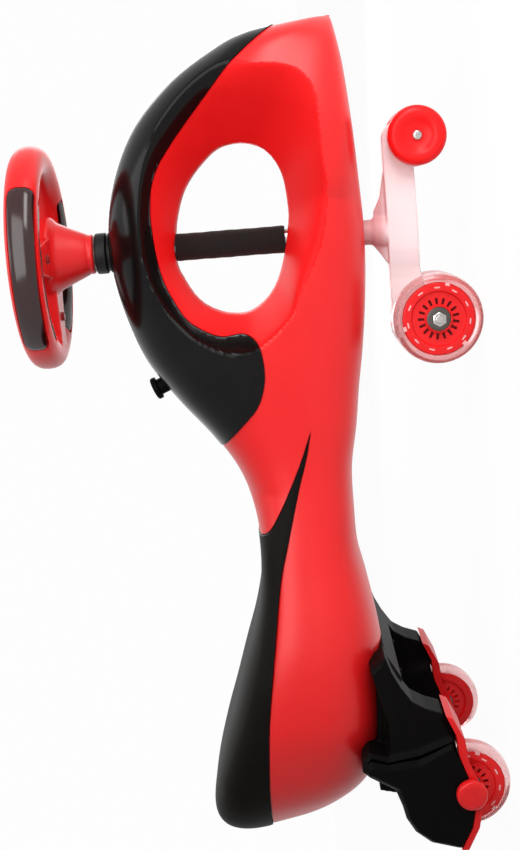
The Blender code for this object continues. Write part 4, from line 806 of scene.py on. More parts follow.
def seat_border(grow):
    """The seat cover's outline in the side view, grown; it runs on past the body at the tail and above."""
    lower = [tuple(p) for p in polyline(SEAT_EDGE_LOWER, 6)]
    upper = [tuple(p) for p in polyline(SEAT_EDGE_UPPER, 6)][:-1]
    above = [(SEAT_EDGE_LOWER[-1][0], ABOVE_SEAT_Z), (SEAT_EDGE_UPPER[0][0], ABOVE_SEAT_Z)]
    return inset_outline(lower + above + upper, -grow)


def border_distance(edge, x, z):
    """How far each point is from a border, in the side view."""
    line = polyline(edge, 3)
    nearest = np.full(x.shape, np.inf)
    for (ax, az), (bx, bz) in zip(line, line[1:]):
        run = (bx - ax) ** 2 + (bz - az) ** 2
        share = np.clip(((x - ax) * (bx - ax) + (z - az) * (bz - az)) / run, 0.0, 1.0)
        nearest = np.minimum(nearest, np.hypot(x - ax - share * (bx - ax), z - az - share * (bz - az)))
    return nearest


def rounded_step(share, softness):
    """A straight rise from 0 to 1 that turns level over the given softness."""
    over = share - 1.0
    return np.clip(1.0 + 0.5 * (over - np.sqrt(over ** 2 + softness ** 2)) + 0.5 * softness, 0.0, 1.0)


def fairing_band(x, z):
    """The fairing stands proud of the body, with a bevel all along its border."""
    return BAND_RISE * rounded_step(border_distance(FAIRING_EDGE, x, z) / BAND_WIDTH, 0.30)


def seat_ridge(x, z):
    """A crease along each side of the seat, a face that leans in above it and a bevelled border."""
    line = np.array(SEAT_CREASE[::-1])
    above = z - np.interp(x, line[:, 0], line[:, 1])
    tent = np.where(above > 0, 1.0 - above / RIDGE_ABOVE, 1.0 + above / RIDGE_BELOW)
    fade_in = np.clip((RIDGE_FRONT - x) / RIDGE_FADES_IN, 0.0, 1.0)
    fade_out = np.clip((x - RIDGE_REAR) / RIDGE_FADES_OUT, 0.0, 1.0)
    border = rounded_step(border_distance(SEAT_EDGE_LOWER, x, z) / SEAT_BEVEL, 0.15)
    front = rounded_step(border_distance(SEAT_EDGE_UPPER, x, z) / SEAT_FRONT_BEVEL, 0.15)
    return RIDGE_RISE * np.clip(tent, 0.0, 1.0) * fade_in * fade_out + SEAT_RISE * np.minimum(border, front)


def across_car(outline):
    return slab(outline, -CLEAR_OF_BODY, CLEAR_OF_BODY)


def make_body():
    """The red moulding with a rebate under each cover; inside the crease its funnel has a duller skin."""
    body = body_solid("body_moulding", 0.0)
    for border in (fairing_border, seat_border):
        rebate = solid("cover_seat", across_car(border(COVER_GAP)))
        carve(rebate, "DIFFERENCE", body_solid("under_cover", -COVER_THICKNESS))
        carve(body, "DIFFERENCE", rebate)
    finished(body, red_shell, "body_shell", 32.0)
    body.data.materials.append(red_funnel.material)
    centres = np.array([polygon.center for polygon in body.data.polygons])
    dx, dz = centres[:, 0] - WINDOW[0], centres[:, 2] - WINDOW[1]
    inside = np.hypot(dx, dz) < loop_reach(CREASE, np.arctan2(dz, dx))
    body.data.polygons.foreach_set("material_index", inside.astype(np.int32))


def make_cover(name, node, border, shape, finish):
    """A thin cover that stands proud of the body inside its border."""
    cover = body_solid(name, COVER_PROUD, shape)
    carve(cover, "INTERSECT", solid("cover_cut", across_car(border(-COVER_GAP))))
    carve(cover, "DIFFERENCE", body_solid("cover_inside", -COVER_THICKNESS + COVER_GAP))
    finished(cover, finish, node, 32.0)


make_body()
make_cover("front_fairing_cover", "front_fairing", fairing_border, fairing_band, fairing_black)
make_cover("seat_moulding", "seat_cover", seat_border, seat_ridge, seat_black)


# Column, sleeve and collar

def make_sleeve():
    """A cut length of foam tube, faintly uneven along its side."""
    low, high = SLEEVE_Z
    lip = [(0.0012, 0.0), (0.0003, 0.0004), (0.0, 0.0014)]
    rows = [(COLUMN_RADIUS, low)] + [(SLEEVE_RADIUS - inward, low + up) for inward, up in lip]
    for t in np.linspace(0.03, 0.97, 60):
        wave = 0.00012 * math.sin(40 * t) + 0.0001 * math.sin(13 * t + 1)
        rows.append((SLEEVE_RADIUS + wave, low + (high - low) * t))
    rows += [(SLEEVE_RADIUS - inward, high - down) for inward, down in reversed(lip)]
    rows.append((COLUMN_RADIUS, high))
    sleeve = solid("foam_grip_sleeve", moved(lathe(rows, 72, True), STEER))
    finished(sleeve, foam, "foam_sleeve")


def make_collar():
    """The bush above the fairing: a neck, a shoulder and a flange under the steering wheel."""
    bore, neck, flange, top = COLUMN_RADIUS + 0.0001, 0.0160, 0.0193, COLLAR_TOP_Z
    rows = [(bore, COLLAR_BOTTOM_Z), (neck, COLLAR_BOTTOM_Z), (neck, top - 0.0185),
            (neck + 0.0016, top - 0.0140), (neck + 0.0008, top - 0.0113), (flange, top - 0.0103),
            (flange, top - 0.0011), (flange - 0.0011, top), (bore, top)]
    collar = solid("steering_collar", moved(lathe(softened(rows, 0.0010, 3), 72, True), STEER))
    finished(collar, collar_black, "upper_bush")


make_sleeve()
make_collar()


# Steering wheel

RIM_SQUARENESS = 2.4
PAD_SET_BACK = 0.0005  # the pad's skin starts this far under the rim's
PAD_DEPTH = 0.0035
PAD_FRONT_TURN = math.radians(51.0)
PAD_FRONT_REACH = math.radians(45.0)
PAD_END = 0.12  # share of the pad's length over which each end rounds off
PAD_MIDDLE_REACH = 0.075
POCKET_GAP = 0.0003
HALVES_GAP = 0.00003
SPOKE_TURNS = (90.0, 180.0, 270.0)
SPOKE_ROOT = (0.020, 0.0196)  # reach from the middle, and half width
SPOKE_TIP_HALF = 0.0128


def signed_power(value, power):
    return math.copysign(abs(value) ** power, value)


def rim_point(angle, grow):
    power = 2.0 / RIM_SQUARENESS
    across = signed_power(math.cos(angle), power)
    up = signed_power(math.sin(angle), power)
    return RIM_RADIUS + (RIM_HALF_WIDTH + grow) * across, RIM_Z + (RIM_HALF_HEIGHT + grow) * up


def grip_band(side, grow, high, low, rise, waves=0.0, back=45.0):
    """One band of a smoked pad, from one section angle to another in degrees at its two ends."""
    half = (PAD_FRONT_REACH + math.radians(back)) / 2
    middle = side * (PAD_FRONT_TURN + half)
    rings = []
    steps = 72
    for k in range(steps + 1):
        share = 2.0 * k / steps - 1.0
        angle = middle + side * (half + grow / PAD_MIDDLE_REACH) * share
        past_start = max(abs(share) - (1.0 - PAD_END), 0.0)
        taper = math.sqrt(max(1.0 - past_start ** 2 / PAD_END ** 2, 0.0))
        bottom = low[0] + (low[1] - low[0]) * (share + 1) / 2
        centre = (high + bottom) / 2
        # A pocket reaches 40 degrees further round for each millimetre that it is grown
        reach = (high - bottom) / 2 * (0.40 + 0.60 * taper) + 40 * grow / 0.001
        turns = [math.radians(a) for a in np.linspace(centre + reach, centre - reach, 26)]
        thin = taper if grow <= 0 else 1.0
        bump = waves * (0.5 - 0.5 * math.cos(4 * math.pi * (share + 1)))
        outside = [rim_point(t, -PAD_SET_BACK + (rise + bump + grow) * thin) for t in turns]
        inside = [rim_point(t, -PAD_DEPTH - grow) for t in reversed(turns)]
        rings.append([(r * math.cos(angle), r * math.sin(angle), z) for r, z in outside + inside])
    return moved(stack(rings), STEER)


def grip(side, grow):
    """A smoked pad: a band outside the rim and one with finger waves inside it, low down."""
    return joined(grip_band(side, grow, high=34.0, low=(-57.0, -34.0), rise=0.0013),
                  grip_band(side, grow, high=-102.0, low=(-128.0, -165.0), rise=0.0007, waves=0.0005,
                            back=56.0))


def wheel_casting():
    """The steering wheel in one: rim, coned hub and three spokes, fused and smoothed."""
    section = [rim_point(math.radians(a), 0.0) for a in np.arange(0.0, 360.0, 7.5)]
    cone, foot = CONE_RADIUS, CONE_BOTTOM_Z
    hub = [(0.0, foot), (cone - 0.0002, foot), (cone, foot + 0.0034), (cone - 0.0007, foot + 0.0042),
           (cone - 0.0006, foot + 0.0052), (cone + 0.0006, foot + 0.0062), (cone + 0.0080, foot + 0.0230),
           (HUB_RADIUS - 0.0060, foot + 0.0340), (HUB_RADIUS, foot + 0.0395), (HUB_RADIUS, HUB_TOP_Z - 0.003),
           (HUB_RADIUS - 0.0028, HUB_TOP_Z), (0.0, HUB_TOP_Z)]
    parts = [lathe(section, 144, True), lathe(softened(hub, 0.0015, 3), 96)]
    root, root_half = SPOKE_ROOT
    tip = RIM_RADIUS - 0.4 * RIM_HALF_WIDTH
    for turn in SPOKE_TURNS:
        outline = [(root, -root_half), (tip, -SPOKE_TIP_HALF), (tip, SPOKE_TIP_HALF), (root, root_half)]
        spoke = plate(outline, SPOKE_BOTTOM_Z, SPOKE_TOP_Z)
        parts.append(moved(spoke, Matrix.Rotation(math.radians(turn), 4, "Z")))
    return cast("steering_wheel_casting", parts, 0.0011, 4)


def make_wheel_half(whole, name, node, half):
    """The lower (-1) or upper (1) half of the casting, with pockets for the pads."""
    shell = bpy.data.objects.new(name, whole.data.copy())
    bpy.context.scene.collection.objects.link(shell)
    near, far = RIM_Z + half * HALVES_GAP, RIM_Z + half * 0.1
    square = rectangle(CLEAR_OF_BODY, CLEAR_OF_BODY)
    carve(shell, "INTERSECT", solid("half_room", plate(square, min(near, far), max(near, far))))
    if half > 0:
        room, low, high = HORN_RADIUS + 0.0003, RIM_Z - 0.02, HUB_TOP_Z + 0.0445
        carve(shell, "DIFFERENCE", solid("horn_room", rod(room, low, high, 96)))
    shell.data.transform(STEER)
    for side in (-1, 1):
        carve(shell, "DIFFERENCE", solid("pocket", grip(side, POCKET_GAP)))
    finished(shell, red_shell, node, 40.0)


def make_horn_cap():
    """A domed button with a pressed ring, and a flange that the upper shell holds down."""
    flange, base, top = HORN_RADIUS + 0.003, HUB_TOP_Z - 0.0055, HUB_TOP_Z + 0.004
    rows = [(0.0, base), (flange, base), (flange, base + 0.0022), (HORN_RADIUS, base + 0.0022),
            (HORN_RADIUS, top - 0.003), (HORN_RADIUS - 0.0024, top - 0.0012), (0.019, top - 0.0006),
            (0.018, top - 0.0012), (0.0165, top - 0.0010), (0.010, top - 0.0003), (0.0, top)]
    cap = solid("horn_cap", moved(lathe(softened(rows, 0.0012, 3), 96), STEER))
    finished(cap, red_shell, "horn_button", 40.0)


def make_horn_spring():
    """The wound return spring under the cap, with its end turns closed."""
    wire, radius, turns = 0.00045, 0.0060, 5.0
    heights = [(STEER.inverted() @ vertex.co).z for vertex in frame["nodes"]["horn_spring"].data.vertices]
    low, high = min(heights), max(heights)
    start, end = low + wire, high - wire
    rings = []
    for turn in np.linspace(0.0, turns, int(turns * 40) + 1):
        height = np.interp(turn, [0.0, 0.8, turns - 0.8, turns], [start, start + wire, end - wire, end])
        rings.append([])
        for a in np.linspace(0.0, 2 * math.pi, 12, endpoint=False):
            reach = radius + wire * math.cos(a)
            rings[-1].append((reach * math.cos(2 * math.pi * turn), reach * math.sin(2 * math.pi * turn),
                              height + wire * math.sin(a)))
    coil = solid("horn_return_coil", moved(stack(rings), STEER))
    finished(coil, steel, "horn_spring", 50.0)
    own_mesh(coil)


def make_steering_wheel():
    whole = wheel_casting()
    make_wheel_half(whole, "wheel_lower_moulding", "wheel_lower_shell", -1)
    make_wheel_half(whole, "wheel_upper_moulding", "wheel_upper_shell", 1)
    bpy.data.objects.remove(whole)
    for side, word in ((-1, "right"), (1, "left")):
        pad = solid("grip_pad_" + word, grip(side, 0.0))
        finished(pad, grip_smoke, "grip_" + word, 50.0)
    make_horn_cap()
    make_horn_spring()


make_steering_wheel()


# Caster arm

ARM_HALF_WIDTHS = ((0.064, 0.0092), (0.050, 0.0104), (0.036, 0.0124), (0.022, 0.0142), (0.008, 0.0149),
                   (-0.008, 0.0149), (-0.018, 0.0143), (-0.028, 0.0124), (-0.036, 0.0104), (-0.045, 0.0092))
ARM_END_HALF = 0.0090
ARM_STOCK_HALF = 0.0160  # the beam before its plan is cut
ARM_NECK_TOP_Z = 0.1500
ARM_BOSS = 0.0155
ARM_WEB_HALF = 0.0055
ARM_REAR_WEB_HALF = 0.0050


def arm_side(front, rear):
    """The beam in the side view: a round nose, a level beam and a rear boss that hangs to the axle."""
    nose = (ARM_TOP_Z - ARM_BOTTOM_Z) / 2
    middle = (ARM_TOP_Z + ARM_BOTTOM_Z) / 2
    nose_turns = [math.radians(a) for a in range(0, 181, 15)]
    boss_turns = [math.radians(a) for a in range(-10, -181, -15)]
    side = [(front[0] + nose * math.sin(a), middle + nose * math.cos(a)) for a in nose_turns]
    side += [(rear[0] + 0.048, ARM_BOTTOM_Z), (rear[0] + 0.034, ARM_BOTTOM_Z - 0.0025),
             (rear[0] + 0.020, ARM_BOTTOM_Z - 0.012)]
    side += [(rear[0] + ARM_BOSS * math.cos(a), rear[1] + ARM_BOSS * math.sin(a)) for a in boss_turns]
    return side + [(rear[0] - ARM_BOSS, ARM_TOP_Z - 0.0045), (rear[0] - 0.011, ARM_TOP_Z)]


def arm_plan(front, rear):
    """The beam from above, widest round the column."""
    halves = [(front[0] + 0.03, ARM_END_HALF), *ARM_HALF_WIDTHS, (rear[0] - 0.03, ARM_END_HALF)]
    return [(x, -half) for x, half in halves] + [(x, half) for x, half in reversed(halves)]


def arm_column():
    """The hub that the arm turns on, which narrows where it goes up into the body."""
    foot, shoulder, neck, top = 0.0135, 0.0146, 0.01175, ARM_NECK_TOP_Z
    return [(0.0, ARM_BOTTOM_Z), (foot, ARM_BOTTOM_Z), (shoulder, 0.0797), (shoulder, 0.0913),
            (shoulder - 0.0010, 0.0975), (neck, 0.1000), (neck, top), (0.0, top)]


def make_arm():
    front = in_steering_frame(*BUMPER_AXLE)
    rear = in_steering_frame(*FRONT_AXLE)
    beam = solid("arm_beam", slab(arm_side(front, rear), -ARM_STOCK_HALF, ARM_STOCK_HALF))
    carve(beam, "INTERSECT", solid("arm_plan", plate(arm_plan(front, rear), 0.0, ARM_NECK_TOP_Z)))
    foot, head = (0.004, ARM_TOP_Z), (0.070, ARM_TOP_Z + 0.013)
    web = along(foot, head, ((0.0, -0.31), (1.0, -0.31), (0.73, 0.08), (0.42, 0.38), (0.24, 0.85),
                             (0.0, 1.0)))
    rear_web = [(x, ARM_TOP_Z + up) for x, up in ((0.0, -0.004), (-0.036, -0.004), (-0.030, 0.001),
                                                  (-0.020, 0.0075), (-0.0135, 0.0125), (0.0, 0.0125))]
    arm = cast("caster_arm_moulding", [mesh_of(beam), lathe(softened(arm_column(), 0.002, 3), 64),
                                       slab(web, -ARM_WEB_HALF, ARM_WEB_HALF),
                                       slab(rear_web, -ARM_REAR_WEB_HALF, ARM_REAR_WEB_HALF)], 0.0010, 6)
    for place, hole in ((front, 0.0034), (rear, 0.0044)):
        carve(arm, "DIFFERENCE", solid("axle_hole", cross(rod(hole, -0.05, 0.05), place, 0.0)))
    carve(arm, "DIFFERENCE", solid("column_bore", rod(COLUMN_RADIUS + 0.0002, 0.066, 0.2)))
    carve(arm, "DIFFERENCE", solid("bolt_room", rod(0.0086, 0.0, 0.0625)))
    arm.data.transform(STEER)
    finished(arm, arm_pink, "caster_arm", 45.0)


make_arm()


# Wheels

FRONT_TYRE_BAND = 0.0080
REAR_TYRE_BAND = 0.0056
BEARING_RADIUS = 0.0110
BEARING_BORE = 0.0043
SLOT_COUNT = 17
SLOT_WIDTH = 0.0026
SLOT_DEPTH = 0.0062


def ring_of(count, phase, make):
    """Copies of a small form round Z."""
    turns = [2 * math.pi * (k + phase) / count for k in range(count)]
    return joined(*[moved(make(), Matrix.Rotation(turn, 4, "Z")) for turn in turns])


def bar(length, width, low, high, reach, corner=0.0005):
    """A small upright bar with rounded corners, its middle at the given reach from Z."""
    outline = softened(rectangle(length / 2, width / 2), corner, 2, True)
    return moved(plate(outline, low, high), Matrix.Translation((0.0, reach, 0.0)))


def both_faces(rows):
    """A half profile with its mirror image behind it."""
    return rows + [(radius, -height) for radius, height in reversed(rows)]


def make_tyre(stem, place, radius, seat):
    half = WHEEL_WIDTH / 2
    rows = both_faces([(seat, half), (radius - 0.0045, half), (radius - 0.0012, half - 0.0030),
                       (radius, half - 0.0070)])
    tyre = solid(stem + "_clear_tyre", place(lathe(softened(rows, 0.0018, 4), 96, True)))
    finished(tyre, clear_tyre, stem + "_tyre", 60.0)


def make_core(stem, place, outer):
    """The red core: a dished disc with slots, a dark ring of painted shade at their bottom and pale marks
    round the edge.
    """
    half = WHEEL_WIDTH / 2
    node = stem + "_core"
    bore = BEARING_RADIUS + 0.0003
    step = outer - 0.0092
    rows = both_faces([(0.0070, half - 0.008), (bore, half - 0.008), (bore, half), (bore + 0.0012, half),
                       (bore + 0.0020, half - 0.0030), (step, half - 0.0030), (step + 0.0010, half - 0.0007),
                       (outer - 0.0010, half - 0.0007), (outer, half - 0.0018)])
    core = solid(stem + "_red_core", place(lathe(softened(rows, 0.0005, 2), 96, True)))
    slot_from, slot_to = bore + 0.0022, step - 0.0054
    slots = []
    for sense in (1, -1):
        low, high = sorted((sense * (half - SLOT_DEPTH), sense * (half + 0.01)))
        slots.append(ring_of(SLOT_COUNT, 0.0, lambda: bar(SLOT_WIDTH, slot_to - slot_from, low, high,
                                                          (slot_from + slot_to) / 2, 0.0008)))
    carve(core, "DIFFERENCE", solid("core_slots", place(joined(*slots))))
    finished(core, red_core, node, 35.0)
    # The dark ring under the slots is painted shade, which darkens the slots.
    inner, outside = slot_from - 0.0010, slot_to + 0.0010
    deep, shallow = half - SLOT_DEPTH - 0.0002, half - SLOT_DEPTH + 0.0012
    floor = solid(stem + "_slot_painted_shade", place(lathe([(inner, deep), (outside, deep), (outside, shallow),
                                                     (inner, shallow)], 96, True)))
    finished(floor, painted_slot_shade, node, 35.0, stands_in=False)
    marks = [ring_of(11, 0.3, lambda: bar(0.0052, 0.0013, half - 0.0012, half - 0.0004, outer - 0.0050)),
             ring_of(3, 0.12, lambda: bar(0.0042, 0.0030, half - 0.0016, half - 0.0002, outer - 0.0012))]
    marks = solid(stem + "_marks", place(joined(*marks)))
    finished(marks, mark_pale, node, 35.0, stands_in=False)


def make_race(stem, place, word, sense):
    """A bearing's face: two rings with a shield between them, a little below the core's face."""
    face = WHEEL_WIDTH / 2 - 0.0010
    rows = [(BEARING_BORE, face - 0.0067), (BEARING_RADIUS, face - 0.0067), (BEARING_RADIUS, face - 0.0002),
            (BEARING_RADIUS - 0.0004, face), (0.0093, face), (0.0090, face - 0.0005), (0.0064, face - 0.0005),
            (0.0061, face), (BEARING_BORE, face)]
    rows = [(radius, sense * height) for radius, height in rows]
    race = solid("%s_%s_race" % (stem, word), place(lathe(rows, 64, True)))
    node = "%s_%s_bearing" % (stem, word)
    finished(race, bearing_steel, node, 35.0)


def make_wheel(stem, centre, y, radius, band):
    """A clear tyre on a red core with bearings. The outer face is the one away from the middle."""
    def place(bm):
        return cross(bm, centre, y, math.copysign(1.0, y))

    seat = radius - band
    make_tyre(stem, place, radius, seat)
    make_core(stem, place, seat - 0.0003)
    make_race(stem, place, "outer", 1.0)
    make_race(stem, place, "inner", -1.0)


def make_bumper(word, side):
    """A small solid roller, dished round its bolt."""
    half, tread = BUMPER_WIDTH / 2, BUMPER_RADIUS
    rows = both_faces([(0.0033, half - 0.0048), (0.0070, half - 0.0046), (0.0120, half - 0.0034),
                       (0.0152, half - 0.0012), (0.0178, half), (tread - 0.0050, half),
                       (tread - 0.0011, half - 0.0030), (tread, half - 0.0078)])
    roller = cross(lathe(softened(rows, 0.0022, 4), 96, True), BUMPER_AXLE, side * BUMPER_WHEEL_Y, side)
    node = "bumper_%s_wheel" % word
    roller = solid("bumper_%s_roller" % word, roller)
    finished(roller, red_bumper, node, 45.0)


for word, side in (("right", -1), ("left", 1)):
    make_wheel("front_" + word, FRONT_AXLE, side * FRONT_WHEEL_Y, FRONT_WHEEL_RADIUS, FRONT_TYRE_BAND)
    make_wheel("rear_" + word, REAR_AXLE, side * REAR_HALF_TRACK, REAR_WHEEL_RADIUS, REAR_TYRE_BAND)
    make_bumper(word, side)


# Bolts and nuts

def ends_across(node):
    """Where a CAD node starts and ends across the car, and the side its further end is on."""
    thing = frame["nodes"][node]
    across = [(thing.matrix_world @ vertex.co).y for vertex in thing.data.vertices]
    near, far = sorted((min(across), max(across)), key=abs)
    return abs(near), abs(far), math.copysign(1.0, far)


def hexagon(radius, low, high, bevel):
    """A six sided nut along Z with its corners turned off at the top."""
    corners = [(radius * math.cos(math.pi * k / 3), radius * math.sin(math.pi * k / 3)) for k in range(6)]
    prism = solid("hexagon", plate(corners, low, high))
    flat = radius * math.cos(math.pi / 6)
    turned_off = lathe([(0.0, low - 0.001), (radius * 1.05, low - 0.001), (radius * 1.05, high - bevel),
                        (flat * 0.96, high), (0.0, high)], 48)
    return mesh_of(carve(prism, "INTERSECT", solid("turned_off", turned_off)))


def make_cross_bolt(name, node, centre, shank, head, height, recessed=False):
    """A bolt along Y with a domed head at the end nearer the middle of the car."""
    top, end, side = ends_across(node)
    base = top - height
    rows = [(0.0, -end), (shank - 0.0004, -end), (shank, -end + 0.0005), (shank, base), (head, base),
            (head, base + 0.45 * height), (0.78 * head, base + 0.85 * height), (0.4 * head, top), (0.0, top)]
    bolt = solid(name, cross(lathe(softened(rows, 0.0006, 2), 64), centre, 0.0, -side))
    for turn in (0.35, 0.35 + math.pi / 2) if recessed else ():
        slot = plate(rectangle(0.6 * head, 0.14 * head), top - 0.0016, top + 0.002)
        slot = cross(moved(slot, Matrix.Rotation(turn, 4, "Z")), centre, 0.0, -side)
        carve(bolt, "DIFFERENCE", solid("recess", slot))
    finished(bolt, steel, node, 35.0)


def make_nut(name, node, centre, radius, bore):
    """A hexagon nut on the end of a cross bolt."""
    near, far, side = ends_across(node)
    nut = solid(name, cross(hexagon(radius, near, far, 0.0010), centre, 0.0, side))
    pin = cross(rod(bore, near - 0.01, far + 0.01, 32), centre, 0.0, side)
    carve(nut, "DIFFERENCE", solid("nut_bore", pin))
    finished(nut, steel, node, 35.0)


make_cross_bolt("bumper_cross_bolt", "bumper_bolt", BUMPER_AXLE, shank=0.0030, head=0.0047, height=0.0030,
                recessed=True)
make_cross_bolt("front_axle_round_bolt", "front_axle_bolt", FRONT_AXLE, shank=0.0040, head=0.0062,
                height=0.0040)
make_nut("bumper_hex_nut", "bumper_nut", BUMPER_AXLE, radius=0.0056, bore=0.0032)
make_nut("front_axle_hex_nut", "front_axle_nut", FRONT_AXLE, radius=0.0068, bore=0.0042)


# Rear housing and tray

LEG_FRONT_REACH = 0.127
LEG_REAR_REACH = 0.055
LEG_HEIGHT = 0.097

# Side views, as shares of a leg's reach before or behind the rear axle and of its height above it
FIN = ((0.425, 0.124), (0.567, 0.227), (0.606, 0.381), (0.661, 0.505), (0.772, 0.608), (0.874, 0.680),
       (1.0, 0.742), (0.906, 0.887), (0.504, 0.732), (0.315, 0.732), (0.157, 0.732), (0.079, 0.124))
POD = ((0.417, 0.144), (0.315, 0.474), (0.276, 0.753), (0.315, 0.928), (0.260, 0.990), (0.173, 1.0),
       (0.126, 0.928), (0.031, 0.701), (-0.218, 0.639), (-0.436, 0.608), (-0.673, 0.526), (-0.873, 0.381),
       (-0.945, 0.227), (-1.0, 0.105), (-0.600, 0.000), (-0.300, -0.030), (0.079, 0.010), (0.268, 0.103))
TRAY = ((0.575, 0.211), (0.425, 0.121), (0.268, 0.098), (0.079, 0.006), (-0.300, -0.034), (-0.600, -0.004),
        (-1.0, 0.101), (-1.0, 0.036), (-0.620, -0.070), (-0.280, -0.105), (0.063, -0.080), (0.220, 0.010),
        (0.394, 0.041), (0.551, 0.144))
BRIDGE = ((0.961, 0.722), (0.772, 0.577), (0.157, 0.536), (-0.255, 0.619), (-0.182, 0.825), (0.929, 0.825))
BRIDGE_HALF = 0.100

# How far the bevelled face of a fin or a pod draws in, from point to point of its side view
FIN_BEVEL = ((-0.002, 0.006), (-0.006, 0.004), (-0.008, 0.003), (-0.005, 0.006), (-0.003, 0.007),
             (-0.002, 0.007), (-0.006, 0.004), (-0.003, -0.002))
POD_BEVEL = ((-0.010, 0.002), (-0.013, 0.0), (-0.011, -0.001), (-0.013, -0.003), (-0.008, -0.005),
             (-0.002, -0.006), (0.003, -0.005), (0.002, -0.005), (0.0, -0.004), (0.0, -0.004),
             (0.001, -0.004), (0.003, -0.003), (0.004, -0.001), (0.004, 0.001))
FIN_HALF = 0.0210
POD_HALF = 0.0290
HOUSING_WALL = 0.0030
WHEEL_ROOM = 0.0035
WHEEL_SIDE_GAP = 0.0008
AXLE_GROOVE_RADIUS = 0.0043
TRAY_SPLIT = (0.012, 0.078)  # starts this far ahead of the axle, and is open this far to each side
CAP_RADIUS = 0.0141


def leg_points(shares, bevel=()):
    """Side view points of a leg by their shares of its reach and height, drawn in by a bevel."""
    x, z = REAR_AXLE
    points = [(x + (LEG_FRONT_REACH if along_leg > 0.0 else LEG_REAR_REACH) * along_leg, z + LEG_HEIGHT * up)
              for along_leg, up in shares]
    drawn_in = [(px + dx, pz + dz) for (px, pz), (dx, dz) in zip(points, bevel)]
    return drawn_in + points[len(bevel):]


def wheel_well(side):
    """Room for a rear wheel, open downwards."""
    x, z = REAR_AXLE
    room = REAR_WHEEL_RADIUS + WHEEL_ROOM
    arch = [(x + room * math.cos(math.radians(a)), z + room * math.sin(math.radians(a)))
            for a in range(0, 181, 6)]
    half = WHEEL_WIDTH / 2 + WHEEL_SIDE_GAP
    middle = side * REAR_HALF_TRACK
    return slab(arch + [(x - room, z - BEYOND), (x + room, z - BEYOND)], middle - half, middle + half)


def pod_hollow(side):
    """The two hollows beside a wheel, open downwards."""
    floor = REAR_AXLE[1] / 2
    top = leg_points(POD[:14])
    outline = inset_outline(top + [(top[-1][0], floor), (top[0][0], floor)], HOUSING_WALL + 0.001)
    end = POD_HALF - HOUSING_WALL
    near = WHEEL_WIDTH / 2 + WHEEL_SIDE_GAP + HOUSING_WALL
    middle = side * REAR_HALF_TRACK
    return joined(slab(outline, middle - end, middle - near), slab(outline, middle + near, middle + end))


def axle_groove():
    groove = rod(AXLE_GROOVE_RADIUS, -CLEAR_OF_BODY, CLEAR_OF_BODY, 32)
    return solid("axle_groove", cross(groove, REAR_AXLE, 0.0))


def make_housing():
    """A bridge under the seat with a fin and a pod for each wheel, hollowed from below."""
    parts = [slab(leg_points(BRIDGE), -BRIDGE_HALF, BRIDGE_HALF)]
    fin, fin_face = leg_points(FIN), leg_points(FIN, FIN_BEVEL)
    pod, pod_face = leg_points(POD), leg_points(POD, POD_BEVEL)
    for side in (-1, 1):
        middle = side * REAR_HALF_TRACK
        parts.append(tiers((middle - side * FIN_HALF, fin), (middle + side * (FIN_HALF - 0.0030), fin),
                           (middle + side * FIN_HALF, fin_face)))
        parts.append(tiers((middle - side * POD_HALF, pod_face), (middle - side * (POD_HALF - 0.0050), pod),
                           (middle + side * (POD_HALF - 0.0065), pod), (middle + side * POD_HALF, pod_face)))
    housing = cast("rear_housing_moulding", parts, 0.0013, 2)
    carve(housing, "DIFFERENCE", body_solid("housing_saddle", COVER_FIT))
    for side in (-1, 1):
        hollow = solid("pod_hollow", pod_hollow(side))
        carve(hollow, "DIFFERENCE", body_solid("hollow_roof", COVER_FIT + HOUSING_WALL))
        carve(housing, "DIFFERENCE", solid("wheel_well", wheel_well(side)), hollow)
    carve(housing, "DIFFERENCE", axle_groove())
    finished(housing, trim_black, "rear_housing", 30.0)


def make_tray():
    """The thin red tray along the lower edge of both legs, open between them ahead of the axle."""
    outer = REAR_HALF_TRACK + POD_HALF - 0.0015
    tray = solid("undertray_moulding", slab(leg_points(TRAY), -outer, outer, 0.0010))
    x, z = REAR_AXLE
    start, half = TRAY_SPLIT
    split = slab([(x + start, z - BEYOND), (x + LEG_FRONT_REACH, z - BEYOND),
                  (x + LEG_FRONT_REACH, z + BEYOND), (x + start, z + BEYOND)], -half, half)
    carve(tray, "DIFFERENCE", solid("tray_split", split), solid("well", wheel_well(-1)),
          solid("well", wheel_well(1)), axle_groove())
    finished(tray, red_tray, "undertray", 35.0)


def make_caps():
    """A domed push-on cap at each end of the rear axle."""
    bore, edge = 0.0042, CAP_RADIUS
    rows = [(bore, 0.0003), (edge - 0.0004, 0.0003), (edge, 0.0010), (edge, 0.0050), (edge - 0.0011, 0.0074),
            (edge - 0.0041, 0.0086), (0.0, 0.0090), (0.0, 0.0060), (bore, 0.0060)]
    for side, word in ((-1, "right"), (1, "left")):
        dome = lathe(softened(rows, 0.0012, 3), 72)
        dome = cross(dome, REAR_AXLE, side * (REAR_HALF_TRACK + POD_HALF), side)
        node = "axle_cap_" + word
        finished(solid("axle_dome_" + word, dome), red_core, node, 40.0)


make_housing()
make_tray()
make_caps()


# Dash knob

KNOB_PLACE = (0.0530, 0.0, 0.3000)
KNOB_TILT = math.radians(24.0)
KNOB_STEM = 0.0078
KNOB_HEAD = 0.0108
KNOB_TOP = 0.0155
FLUTE_COUNT = 14
FLUTE_RADIUS = 0.0011
POINTER_HALF = 0.0011


